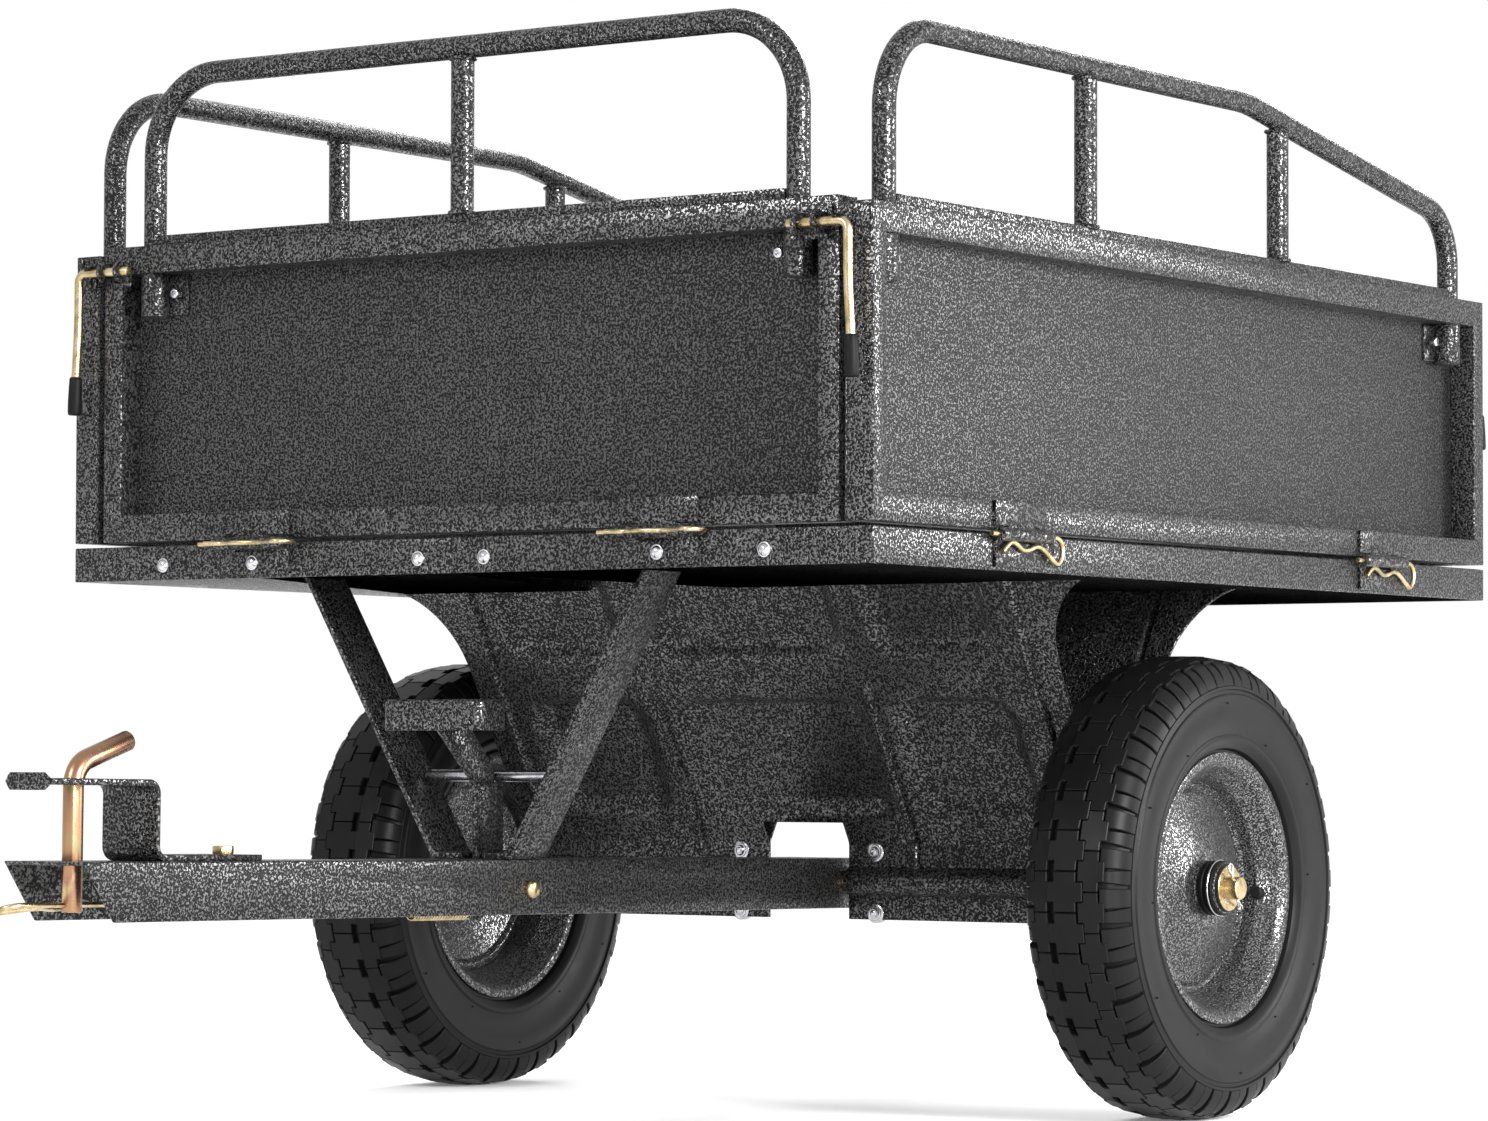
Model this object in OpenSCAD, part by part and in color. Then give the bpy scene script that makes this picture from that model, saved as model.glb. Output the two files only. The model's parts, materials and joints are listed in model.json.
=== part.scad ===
// Tipping trailer cart for a garden tractor, with fold-down panels and removable rails.
// +X points in the towing direction, +Y to the left wheel, +Z up.
// The origin is on the ground, under the middle of the whole cart.

/* [Bed] */
// Length of the bed along the towing direction
bed_length = 1080; // [1070:2:1090]
// Width of the bed across the side panels
bed_width = 846; // [842:2:850]
// Height of the load floor above the ground
floor_top = 500; // [498:1:502]
// Depth of the turned-down edge of the floor
skirt_depth = 30; // [28:1:32]

/* [Panels] */
// Top of the side panels above the ground
side_panel_top = 759; // [750:1:765]
// Top of the end panels above the ground
end_panel_top = 765; // [758:1:770]
// Thickness of a panel from sheet to outer face
panel_depth = 27; // [26:0.5:28]
// Width of the upright members of a panel frame
stile_width = 20; // [18:1:21]
// Height of the top and bottom members of a panel frame
member_height = 24; // [22:1:26]

/* [Rails] */
// Outer diameter of the rail tube
rail_tube = 20; // [19:0.5:20]
// Height of the top of the rails above the ground
rail_top = 925; // [900:5:940]

/* [Wheels] */
// Outer radius of the tyre
tyre_radius = 203; // [200:1:206]
// Width of the tyre
tyre_width = 104; // [100:1:106]
// Distance from the cart's middle to the middle of a tyre
wheel_offset = 396; // [396:1:398]
// Radius of the axle
axle_radius = 10; // [10:0.25:10.5]

/* [Drawbar] */
// Angle by which the drawbar climbs towards the hitch
drawbar_rise = 0.67; // [0.5:0.01:0.8]
// Distance from the axle to the front edge of the drawbar
drawbar_reach = 1037; // [1036:1:1045]
// Radius of the hitch pin
hitch_pin_radius = 8; // [7.5:0.25:8]

/* [Hidden] */
$fn = 32;

half_length = bed_length / 2;
half_width = bed_width / 2;
steel = 2;                          // thickness of the sheet metal
slip = 0.08;                        // radial clearance of a pin in its hole
bite = 0.2;                         // overlap that joins two solids of one piece
axle_height = tyre_radius;

// Hinges between the floor and the panels
knuckle_radius = 5.75;
hinge_offset = 6;                   // hinge axis outside the panels' outer face
hinge_length = 80;
middle_knuckle = 39;
leaf = 3;
leaf_height = 25;
end_hinge_at = 215;
side_hinge_at = 320;
panel_gap = 4;                      // gap between the floor and a panel

// Hairpin clips that serve as hinge pins
wire = 2.25;                        // radius of the wire
clip_length = 112;
clip_drop = 22;

// Panels
end_panel_half = half_width - panel_depth - 6;
end_panel_height = end_panel_top - floor_top - panel_gap;
side_panel_height = side_panel_top - floor_top - panel_gap;

// Rails, their sockets and the flat bar that rests on a panel
tube_radius = rail_tube / 2;
tube_bore = tube_radius - 1.5;
rail_inset = 13;                    // tube axis behind the panel's outer face
end_leg_at = 342.5;
side_front_leg = 505;
side_rear_leg = -490;
side_posts = [190, -150];
side_kink = -91;
rail_drop = 69;                     // how far the side rail falls to its rear end
leg_bottom = -63;                   // bottom of a leg below the panel's top
socket_wall = 2;
bar_height = 9;

// Corner latches on the end panels
latch_radius = 4;
latch_out = 14;                     // rod axis in front of the end panel's face
latch_down = 23;                    // rod axis below the end panel's top
latch_inner = 350;
latch_bend = 408;
latch_drop = 96;
grip_length = 32;
ear_at = [358, 380];
hook_at = [393, 399];

// Drawbar, in its own climbing frame with the axle at the origin
bar_half = 41.5;
bar_top = 21;
bar_bottom = -25;
bar_steel = 3;
bar_cut = 35;                       // how far the sloped end cuts back
bar_tail = 28;
pivot_at = [481, -3.6];
pin_at = 1005;
pin_bottom = -18;
pin_corner = [0, 94];
clip_hole = -12;
plate_thick = 5;
plate_half = 28;
plate_level = 79;                   // underside of the hitch plate
plate_back = 936;
plate_front = 1056;
foot_back = 815;
foot_bolt_at = 830;

// Hitch clip reach and the middle of the whole cart along X
hitch_clip_front = 1072;
rear_clip_back = half_length + hinge_offset + clip_drop + wire;
middle_x = (hitch_clip_front - rear_clip_back) / 2;

// Bed supports, braces and the foot latch
support_steel = 2.5;
support_foot = 168;
support_bend = 238;
support_run = 146;
support_flange = 35;
support_half = 410;
waist_half = 325;
notch_half = 45;
notch_top = 257;
arch = [401, 400, 76];              // side cut-out: across, up, radius
clamp_bolts = 75;
brace_from = 462;
brace_width = 50;
brace_thick = 5;
striker_at = [476, 300];
striker_radius = 5;

// Wheel
rim_steel = 2.5;
hub_radius = 22.5;
hub_half = 44;
bearing_radius = 17.5;
valve_angle = 176;
axle_half = 455;
seat_radius = 104;

// ---- general shapes -------------------------------------------------------

// Moves a shape from the axle-centred frame to the cart's own origin
module cart() translate([-middle_x, 0, 0]) children();

// Frame of the drawbar: along the channel, with the axle's centre at zero
module on_drawbar() cart() translate([0, 0, axle_height]) rotate([0, -drawbar_rise, 0]) children();

module block(low, high) translate(low) cube(high - low);

module both_sides() {
    children();
    mirror([0, 1, 0]) children();
}

module both_ends() {
    children();
    mirror([1, 0, 0]) children();
}

module across(radius, from, to, at = [0, 0])
    translate([at.x, from, at.y]) rotate([-90, 0, 0]) cylinder(r = radius, h = to - from);

module along(radius, from, to, at = [0, 0])
    translate([from, at.x, at.y]) rotate([0, 90, 0]) cylinder(r = radius, h = to - from);

module upright(radius, from, to, at = [0, 0])
    translate([at.x, at.y, from]) cylinder(r = radius, h = to - from);

function heading(d) = atan2(d.y, d.x);
function unit(d) = d / norm(d);
function wrap(a) = a > 180 ? a - 360 : a <= -180 ? a + 360 : a;
function turn(p, i) = wrap(heading(p[i + 1] - p[i]) - heading(p[i] - p[i - 1]));
function cut(p, bend, i) =
    i == 0 || i == len(p) - 1 ? 0 : bend[i - 1] * tan(abs(turn(p, i)) / 2);

// Points along the arc that rounds a corner
function arc_points(p, bend, i, n) =
    let (d = unit(p[i] - p[i - 1]), side = sign(turn(p, i)),
        start = p[i] - d * cut(p, bend, i), centre = start + bend[i - 1] * side * [-d.y, d.x])
    [for (j = [0 : n]) let (a = heading(start - centre) + turn(p, i) * j / n)
        centre + bend[i - 1] * [cos(a), sin(a)]];

module bar_between(a, b, radius) translate([a.x, a.y, 0]) rotate([0, 0, heading(b - a)])
    rotate([0, 90, 0]) cylinder(r = radius, h = norm(b - a));

// Round bar along a flat path. A right-angled corner is an exact elbow of the given
// bend radius, and any other corner is rounded by short lengths between balls.
module bent_rod(p, bend, radius) {
    for (i = [0 : len(p) - 2]) {
        d = unit(p[i + 1] - p[i]);
        bar_between(p[i] + d * cut(p, bend, i), p[i + 1] - d * cut(p, bend, i + 1), radius);
    }
    for (i = [1 : len(p) - 2])
        if (abs(abs(turn(p, i)) - 90) < 0.01) elbow(p, bend, i, radius);
        else {
            pts = arc_points(p, bend, i, ceil(abs(turn(p, i)) / 30));
            for (j = [0 : len(pts) - 2]) bar_between(pts[j], pts[j + 1], radius);
            for (at = pts) translate([at.x, at.y, 0]) sphere(r = radius * 1.02);
        }
}

module elbow(p, bend, i, radius) {
    d = unit(p[i] - p[i - 1]);
    side = sign(turn(p, i));
    centre = p[i] - d * bend[i - 1] + bend[i - 1] * side * [-d.y, d.x];
    translate([centre.x, centre.y, 0]) rotate([0, 0, heading(d) - (side > 0 ? 90 : 0)])
        rotate_extrude(angle = 90) translate([bend[i - 1], 0]) circle(r = radius);
}

// Normal of a path at a point, lengthened so that a strip keeps its thickness in a corner
function left_normal(d) = [-d.y, d.x];
function miter(p, i) =
    i == 0 ? left_normal(unit(p[1] - p[0])) :
    i == len(p) - 1 ? left_normal(unit(p[i] - p[i - 1])) :
    let (a = left_normal(unit(p[i] - p[i - 1])), b = left_normal(unit(p[i + 1] - p[i])))
    (a + b) / (1 + a * b);
function strip(p, thick) = concat(
    [for (i = [0 : len(p) - 1]) p[i] + miter(p, i) * thick / 2],
    [for (i = [len(p) - 1 : -1 : 0]) p[i] - miter(p, i) * thick / 2]);

// Bent flat bar: an outline in the XZ plane, as wide as given across the cart
module bent_strip_xz(p, thick, from, to)
    translate([0, to, 0]) rotate([90, 0, 0]) linear_extrude(to - from) polygon(strip(p, thick));

// Bent flat bar: an outline in the YZ plane, as wide as given along the cart
module bent_strip_yz(p, thick, from, to)
    translate([from, 0, 0]) rotate([90, 0, 90]) linear_extrude(to - from) polygon(strip(p, thick));

// ---- finishes ---------------------------------------------------------------

module black_paint() color([0.16, 0.16, 0.17]) children();
module yellow_zinc() color([0.80, 0.66, 0.36]) children();
module silver_zinc() color([0.78, 0.78, 0.80]) children();
module rubber() color([0.08, 0.08, 0.08]) children();

// ---- drawbar and hitch ----------------------------------------------------------

module drawbar_channel() black_paint() on_drawbar() difference() {
    rotate([90, 0, 0]) translate([0, 0, -bar_half]) linear_extrude(2 * bar_half) polygon([
        [-bar_tail, bar_bottom], [drawbar_reach - bar_cut, bar_bottom],
        [drawbar_reach, bar_top], [-bar_tail, bar_top]]);
    block([-bar_tail - 1, bar_steel - bar_half, bar_bottom - 1],
        [drawbar_reach + 1, bar_half - bar_steel, bar_top - bar_steel]);
    across(axle_radius + slip, -bar_half - 1, bar_half + 1);
    across(5 + slip, -bar_half - 1, bar_half + 1, pivot_at);
    upright(hitch_pin_radius + slip, 0, bar_top + 1, [pin_at, 0]);
    upright(5.3, 0, bar_top + 1, [foot_bolt_at, 0]);
    block([464, -4, 0], [518, 4, bar_top + 1]);
}

module axle() yellow_zinc() cart() difference() {
    across(axle_radius, -axle_half, axle_half, [0, axle_height]);
    for (side = [-1, 1]) upright(1.9, axle_height - 20, axle_height + 20, [0, side * 448.5]);
}

module ring_across(outer, inner, from, to) difference() {
    across(outer, from, to, [0, axle_height]);
    across(inner, from - 1, to + 1, [0, axle_height]);
}

module axle_washers() yellow_zinc() cart() both_sides() {
    ring_across(20, axle_radius + slip, 440.3, 443.3);
    ring_across(20, axle_radius + slip, 348.7, 351.7);
    ring_across(14, axle_radius + slip, 326, 348.6);
}

module axle_cotters() silver_zinc() cart() both_sides() translate([0, 448.5, axle_height]) {
    cylinder(r = 1.7, h = 32, center = true);
    translate([0, 0, 19.5]) rotate([90, 0, 0]) rotate_extrude() translate([4.5, 0]) circle(r = 1.6);
    translate([0, 0, -16]) sphere(r = 1.7);
}

module hitch_plate() black_paint() on_drawbar() difference() {
    middle = plate_thick / 2;
    bent_strip_xz([[foot_back, bar_top + middle], [plate_back + middle - 6, bar_top + middle],
        [plate_back + middle, bar_top + middle + 6], [plate_back + middle, plate_level + middle - 8],
        [plate_back + middle + 2.4, plate_level + middle - 2.4],
        [plate_back + middle + 8, plate_level + middle], [plate_front, plate_level + middle]],
        plate_thick, -plate_half, plate_half);
    upright(hitch_pin_radius + slip, plate_level - 1, plate_level + 10, [pin_at, 0]);
    upright(5.3, bar_top - 1, bar_top + 10, [foot_bolt_at, 0]);
    // rounded front corners
    both_sides() difference() {
        block([plate_front - 10, plate_half - 10, plate_level - 2],
            [plate_front + 1, plate_half + 1, plate_level + 8]);
        upright(10, plate_level - 3, plate_level + 9, [plate_front - 10, plate_half - 10]);
    }
}

module hitch_plate_bolt() yellow_zinc() on_drawbar() translate([foot_bolt_at, 0, 0]) {
    upright(9, bar_top + plate_thick, bar_top + plate_thick + 7, [0, 0], $fn = 6);
    translate([0, 0, bar_top - bar_steel - 12]) cylinder(r = 5, h = plate_thick + bar_steel + 12.5);
    translate([0, 0, bar_top - bar_steel - 8]) cylinder(r = 9, h = 8, $fn = 6);
}

module hitch_pin() yellow_zinc() on_drawbar() difference() {
    translate([pin_at, 0, 0]) rotate([90, 0, 0]) {
        bar_between([0, pin_bottom], pin_corner, hitch_pin_radius);
        bar_between(pin_corner, [-61, 114], hitch_pin_radius);
        translate([pin_corner.x, pin_corner.y, 0]) sphere(r = hitch_pin_radius * 1.02);
    }
    along(wire + slip, pin_at - 12, pin_at + 12, [0, clip_hole]);
}

// Hairpin clip: a straight leg along +X from zero, an eye, and a return leg on the -Y side
module hairpin(reach, drop) bent_rod([[0, 0], [reach, 0], [reach, -drop], [8, -drop]],
    [drop / 2 - 0.5, drop / 2 - 0.5], wire);

module hitch_clip() yellow_zinc() on_drawbar()
    translate([hitch_clip_front - wire - 108, 0, clip_hole]) rotate([14, 0, 0]) hairpin(108, 24);

module pedal_pivot() yellow_zinc() on_drawbar() {
    across(5, -bar_half - 12, bar_half + bite, pivot_at);
    across(8, bar_half, bar_half + 5, pivot_at);
    across(8.5, -bar_half - 9, -bar_half, pivot_at, $fn = 6);
}

module pedal_spring() yellow_zinc() on_drawbar() {
    along(5, 522, 590, [0, -25]);
    along(1.5, 512, 522 + bite, [0, -25]);
    along(1.5, 590 - bite, 603, [0, -25]);
    upright(1.5, -25, bar_top - bar_steel, [603, 0]);
}

// ---- foot latch ---------------------------------------------------------------

module pedal_lever() black_paint() cart() difference() {
    pivot = [pivot_at.x * cos(drawbar_rise) - pivot_at.y * sin(drawbar_rise),
        axle_height + pivot_at.x * sin(drawbar_rise) + pivot_at.y * cos(drawbar_rise)];
    rotate([90, 0, 0]) translate([0, 0, -2.5]) linear_extrude(5) polygon([
        [470, 190], [506, 178], [507, 292], [556, 338], [556, 361], [534, 361],
        [striker_at.x + striker_radius + 1, 306],
        [striker_at.x + striker_radius + 1, striker_at.y - striker_radius - 1.5],
        [470, striker_at.y - striker_radius - 1.5]]);
    across(5 + slip, -4, 4, pivot);
}

module pedal_pad() black_paint() cart() difference() {
    union() {
        block([527, -44, 338], [568, 44, 364]);
        block([535, -52, 338], [560, 52, 364]);
        for (x = [535, 560], y = [-44, 44]) upright(8, 338, 364, [x, y]);
    }
    block([530, -41, 337], [565, 41, 361]);
    block([538, -49, 337], [557, 49, 361]);
    block([526, -2.5, 337], [531, 2.5, 358.5]);
}

module latch_striker() silver_zinc() cart() across(striker_radius, -74, 74, striker_at);

// ---- wheels -------------------------------------------------------------------

// Tyre section: a rounded loop that is open towards the rim
function tyre_point(t, half, mean, rise) =
    [mean + rise * sign(sin(t)) * pow(abs(sin(t)), 0.62),
     half * sign(cos(t)) * pow(abs(cos(t)), 0.62)];

bead = [[106.3, 31], [109.1, 36], [112.8, 39.4], [121, 39.4], [122.5, 44]];
bead_inside = [[124, 34], [114, 31]];
function flipped(p) = [for (i = [len(p) - 1 : -1 : 0]) [p[i].x, -p[i].y]];

module tyre(side) rubber() cart() translate([0, side * wheel_offset, axle_height])
    rotate([90, 0, 0]) rotate_extrude($fn = 96) polygon(concat(bead,
        [for (i = [0 : 20]) tyre_point(11.5 * i - 25, tyre_width / 2, 154, tyre_radius - 154)],
        flipped(bead), flipped(bead_inside),
        [for (i = [20 : -1 : 0]) tyre_point(11.5 * i - 25, tyre_width / 2 - 7, 154, tyre_radius - 164)],
        bead_inside));

module tyre_left() tyre(1);
module tyre_right() tyre(-1);

// Inflated tube with its valve, which comes out through the rim's outer wall
module inner_tube(side) rubber() cart() translate([0, side * wheel_offset, axle_height])
    rotate([side * 90, 0, 0]) mirror([0, 0, 1]) difference() {
        union() {
            rotate_extrude($fn = 64) translate([151, 0]) circle(r = 35);
            rotate([0, 0, valve_angle]) translate([122, 0, 14]) rotate([0, -72, 0])
                cylinder(r = 4.5, h = 44);
        }
        rotate_extrude($fn = 64) translate([151, 0]) circle(r = 33);
        rotate([0, 0, valve_angle]) translate([124, 0, 14]) rotate([0, -72, 0])
            cylinder(r = 2, h = 60);
    }

module inner_tube_left() inner_tube(1);
module inner_tube_right() inner_tube(-1);

// Pressed rim: a barrel with rolled lips, a dished disc and a hub tube
module rim(side) black_paint() cart() translate([0, side * wheel_offset, axle_height])
    rotate([side * 90, 0, 0]) mirror([0, 0, 1]) difference() {
        union() {
            rotate_extrude($fn = 96) polygon(strip([[119, -41], [112, -41], [107, -36],
                [seat_radius, -30], [97, -20], [95, -8], [95, 8], [97, 20], [seat_radius, 30],
                [107, 36], [112, 41], [119, 41]], rim_steel));
            rotate_extrude($fn = 96) polygon(strip([[95, 5], [87, 4], [82, 7], [60, 14],
                [32, 22], [hub_radius - 1, 23]], rim_steel));
            rotate_extrude($fn = 96) translate([bearing_radius + 0.02, -hub_half])
                square([hub_radius - bearing_radius - 0.02, 2 * hub_half]);
        }
        rotate([0, 0, valve_angle]) translate([122, 0, 14]) rotate([0, -72, 0])
            cylinder(r = 4.6, h = 44);
    }

module rim_left() rim(1);
module rim_right() rim(-1);

// Flanged bearings pressed into both ends of the hub
module bearings(side) silver_zinc() cart() translate([0, side * wheel_offset, 0])
    for (end = [-1, 1]) mirror([0, end < 0 ? 1 : 0, 0]) difference() {
        union() {
            across(bearing_radius, hub_half - 14, hub_half + bite, [0, axle_height]);
            across(hub_radius - 1, hub_half, hub_half + 0.2, [0, axle_height]);
        }
        across(axle_radius + slip, 0, hub_half + 2, [0, axle_height]);
    }

module bearings_left() bearings(1);
module bearings_right() bearings(-1);

// ---- bed ----------------------------------------------------------------------

module bolt_holes_end() for (y = [35, end_hinge_at, 319])
    along(3.3, half_length - 10, half_length + 10, [y, floor_top - 17]);

// Half of the floor, with three turned-down edges and a return under the middle seam
module floor_half() black_paint() cart() difference() {
    block([-half_length, 0, floor_top - skirt_depth], [half_length, half_width, floor_top]);
    block([steel - half_length, steel, floor_top - skirt_depth - 1],
        [half_length - steel, half_width - steel, floor_top - steel]);
    both_ends() {
        bolt_holes_end();
        // gap in the middle return for a support
        block([support_run - 18, -1, floor_top - skirt_depth - 1],
            [support_run + support_flange + 4, steel + 1, floor_top - steel]);
    }
}

module floor_left() floor_half();
module floor_right() mirror([0, 1, 0]) floor_half();

// Stamped plate that clamps half of the axle and carries one end of the floor
module support() black_paint() difference() {
    t = support_steel;
    top = floor_top - steel - t / 2;
    union() {
        bent_strip_xz([[t / 2, support_foot], [t / 2, support_bend], [support_run, top - 6],
            [support_run + 6, top], [support_run + support_flange, top]],
            t, -support_half, support_half);
        intersection() {
            across(axle_radius + slip + t, -waist_half, waist_half, [0, axle_height]);
            block([0, -waist_half, 0], [30, waist_half, 400]);
        }
    }
    across(axle_radius + slip, -waist_half - 1, waist_half + 1, [0, axle_height]);
    // passage of the drawbar
    block([-1, -notch_half, support_foot - 1], [60, notch_half, notch_top]);
    // side cut-outs beside the tyres
    both_sides() {
        block([-20, waist_half, support_foot - 1], [support_run + 60, support_half + 20, arch.y]);
        along(arch.z, -20, support_run + 60, [arch.x, arch.y]);
        block([-20, arch.x, arch.y - 1], [support_run + 60, support_half + 20, arch.y + arch.z]);
        for (z = [support_foot + 6, support_bend - 8]) along(4.2, -20, 40, [clamp_bolts, z]);
    }
}

module support_front() cart() support();
module support_rear() cart() mirror([1, 0, 0]) support();

// Bent strap from the drawbar's top to the underside of the floor
module brace() black_paint() cart() {
    rest = axle_height + bar_top + (brace_from + brace_width) * sin(drawbar_rise) + 0.4;
    low = rest + brace_thick / 2;
    top = floor_top - steel - brace_thick / 2;
    bent_strip_yz([[14, low], [38, low], [42, low + 4], [178, 468], [192, top - 4], [197, top],
        [232, top]], brace_thick, brace_from, brace_from + brace_width);
}

module brace_left() brace();
module brace_right() mirror([0, 1, 0]) brace();

// Bolt through the floor's end edge, with its head standing on a face at the given place
module edge_bolt(face, at) {
    along(6, face, face + 4, at);
    along(3.2, half_length - 12, face + bite, at);
    along(6, half_length - steel - 6, half_length - steel, at, $fn = 6);
}

module floor_bolts() silver_zinc() cart() both_sides() both_ends() {
    for (y = [35, 319]) edge_bolt(half_length, [y, floor_top - 17]);
    edge_bolt(half_length + leaf, [end_hinge_at, floor_top - 17]);
}

module support_bolts() silver_zinc() cart() both_sides()
    for (z = [support_foot + 6, support_bend - 8]) {
        along(4, -10, 8, [clamp_bolts, z]);
        along(8, support_steel, support_steel + 6, [clamp_bolts, z], $fn = 6);
        along(8, -support_steel - 7, -support_steel, [clamp_bolts, z], $fn = 6);
    }

// ---- hinges ----------------------------------------------------------------------

// Knuckles on the hinge line, drawn with the line along Y at x = 0, z = 0
module knuckles(spans) difference() {
    for (s = spans) across(knuckle_radius, s[0], s[1]);
    across(wire + slip, -hinge_length, hinge_length);
}

outer_spans = [[-hinge_length / 2, -middle_knuckle / 2 - 0.5],
    [middle_knuckle / 2 + 0.5, hinge_length / 2]];
middle_span = [[-middle_knuckle / 2, middle_knuckle / 2]];

// Leaf under the floor's edge: full height beside the outer knuckles, lower in the middle
module lower_leaf(bolt = false) {
    knuckles(outer_spans);
    difference() {
        union() {
            block([-hinge_offset, -hinge_length / 2, -leaf_height - 2],
                [leaf - hinge_offset, hinge_length / 2, -7]);
            for (s = outer_spans) block([-hinge_offset, s[0], -8],
                [leaf - hinge_offset, s[1], -3.4]);
        }
        if (bolt) along(3.3, -20, 20, [0, -17]);
    }
}

module upper_leaf() {
    knuckles(middle_span);
    block([-hinge_offset, -hinge_length / 2, 7],
        [leaf - hinge_offset, hinge_length / 2, leaf_height + 3]);
    block([-hinge_offset, middle_span[0][0], 3.4],
        [leaf - hinge_offset, middle_span[0][1], 8]);
}

module end_hinges() for (side = [-1, 1])
    translate([half_length + hinge_offset, side * end_hinge_at, floor_top]) children();

module side_hinges() for (x = [-side_hinge_at, side_hinge_at])
    translate([x, half_width + hinge_offset, floor_top]) rotate([0, 0, 90]) children();

module bed_hinges() black_paint() cart() {
    both_ends() end_hinges() lower_leaf(true);
    both_sides() side_hinges() lower_leaf();
}

module end_clips() end_hinges() translate([0, -58, 0]) rotate([0, 0, 90]) hairpin(clip_length, clip_drop);

module front_clips() yellow_zinc() cart() end_clips();
module rear_clips() yellow_zinc() cart() mirror([1, 0, 0]) end_clips();

module side_clips() for (x = [-side_hinge_at, side_hinge_at])
    translate([x + 52, half_width + hinge_offset, floor_top]) rotate([90, 0, 0])
        mirror([1, 0, 0]) hairpin(clip_length, clip_drop);

module left_clips() yellow_zinc() cart() side_clips();
module right_clips() yellow_zinc() cart() mirror([0, 1, 0]) side_clips();

// ---- panels ----------------------------------------------------------------------
// A panel is drawn standing on y = 0 in the XY plane, with its outer face at z = 0
// and its sheet at z = -panel_depth, and is then stood up along one edge of the bed.

module panel_frame(half, tall, legs) difference() {
    block([-half, 0, steel - panel_depth], [half, tall, 0]);
    block([stile_width - half, member_height, -panel_depth - 1],
        [half - stile_width, tall - member_height, 1]);
    // hollow of the folded frame, open towards the sheet
    difference() {
        block([steel - half, steel, -panel_depth], [half - steel, tall - steel, -steel]);
        block([stile_width - steel - half, member_height - steel, -panel_depth - 1],
            [half - stile_width + steel, tall - member_height + steel, 1]);
    }
    for (x = legs) translate([x, tall - member_height - 1, -rail_inset]) rotate([-90, 0, 0])
        cylinder(r = tube_radius + 0.3, h = member_height + 2);
}

// Sheet with a screw hole beside each rail leg. A leg is its place and its tab's direction.
module panel_sheet(half, tall, legs) difference() {
    block([-half, 0, -panel_depth], [half, tall, steel - panel_depth]);
    for (l = legs) translate([l[0] + 21 * l[1], tall - member_height - 18, -panel_depth - 1])
        cylinder(r = 2.6, h = steel + 2);
}

// Socket that holds a rail leg, with a tab that is screwed to the sheet
module socket(tall, inwards) translate([0, tall - member_height - 38, -rail_inset]) difference() {
    union() {
        rotate([-90, 0, 0]) cylinder(r = tube_radius + socket_wall, h = 38);
        block([min(0, 30 * inwards), 2, steel - panel_depth + rail_inset],
            [max(0, 30 * inwards), 36, steel - panel_depth + rail_inset + 2.5]);
    }
    rotate([-90, 0, 0]) translate([0, 0, -1]) cylinder(r = tube_radius + slip, h = 40);
    translate([21 * inwards, 20, -20]) cylinder(r = 2.6, h = 40);
}

module socket_screw(tall, inwards)
    translate([21 * inwards, tall - member_height - 18, steel - panel_depth]) {
        translate([0, 0, 2.5]) cylinder(r = 4.5, h = 3);
        translate([0, 0, -steel + 0.1]) cylinder(r = 2.5, h = steel + 2.6);
    }

module end_up() translate([half_length, 0, floor_top + panel_gap]) rotate([90, 0, 90]) children();
module side_up() translate([0, half_width, floor_top + panel_gap]) rotate([90, 0, 180]) children();

// Square ear with two wings that carry a latch rod
module ear() translate([half_length, 0, end_panel_top - latch_down]) difference() {
    union() {
        block([0, ear_at[0], -12], [2, ear_at[1], 11]);
        for (y = [ear_at[0], ear_at[1] - 3]) {
            block([0, y, -9], [latch_out, y + 3, 9]);
            across(9, y, y + 3, [latch_out, 0]);
        }
    }
    across(latch_radius + slip, ear_at[0] - 1, ear_at[1] + 1, [latch_out, 0]);
}

// Hooks on a side panel's end: they stand behind and over the latch rod
module hook() translate([half_length, 0, end_panel_top - latch_down]) {
    block([0, hook_at[0], -13], [2, half_width - 3, 14]);
    for (y = hook_at) {
        block([0, y, -13], [latch_out - latch_radius - 0.6, y + 3, 14]);
        block([0, y, latch_radius + 0.8], [latch_out + 6, y + 3, 14]);
    }
}

module front_frame() black_paint() cart() end_up()
    panel_frame(end_panel_half, end_panel_height, [-end_leg_at, end_leg_at]);
module front_sheet() black_paint() cart() end_up()
    panel_sheet(end_panel_half, end_panel_height, [[-end_leg_at, 1], [end_leg_at, -1]]);
module front_fittings() black_paint() cart() {
    end_up() for (s = [-1, 1]) translate([s * end_leg_at, 0, 0]) socket(end_panel_height, -s);
    end_hinges() upper_leaf();
    both_sides() ear();
}
module front_screws() silver_zinc() cart() end_up()
    for (s = [-1, 1]) translate([s * end_leg_at, 0, 0]) socket_screw(end_panel_height, -s);

module rear_frame() black_paint() cart() mirror([1, 0, 0]) end_up()
    panel_frame(end_panel_half, end_panel_height, []);
module rear_sheet() black_paint() cart() mirror([1, 0, 0]) end_up()
    panel_sheet(end_panel_half, end_panel_height, []);
module rear_fittings() black_paint() cart() mirror([1, 0, 0]) {
    end_hinges() upper_leaf();
    both_sides() ear();
}

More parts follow.
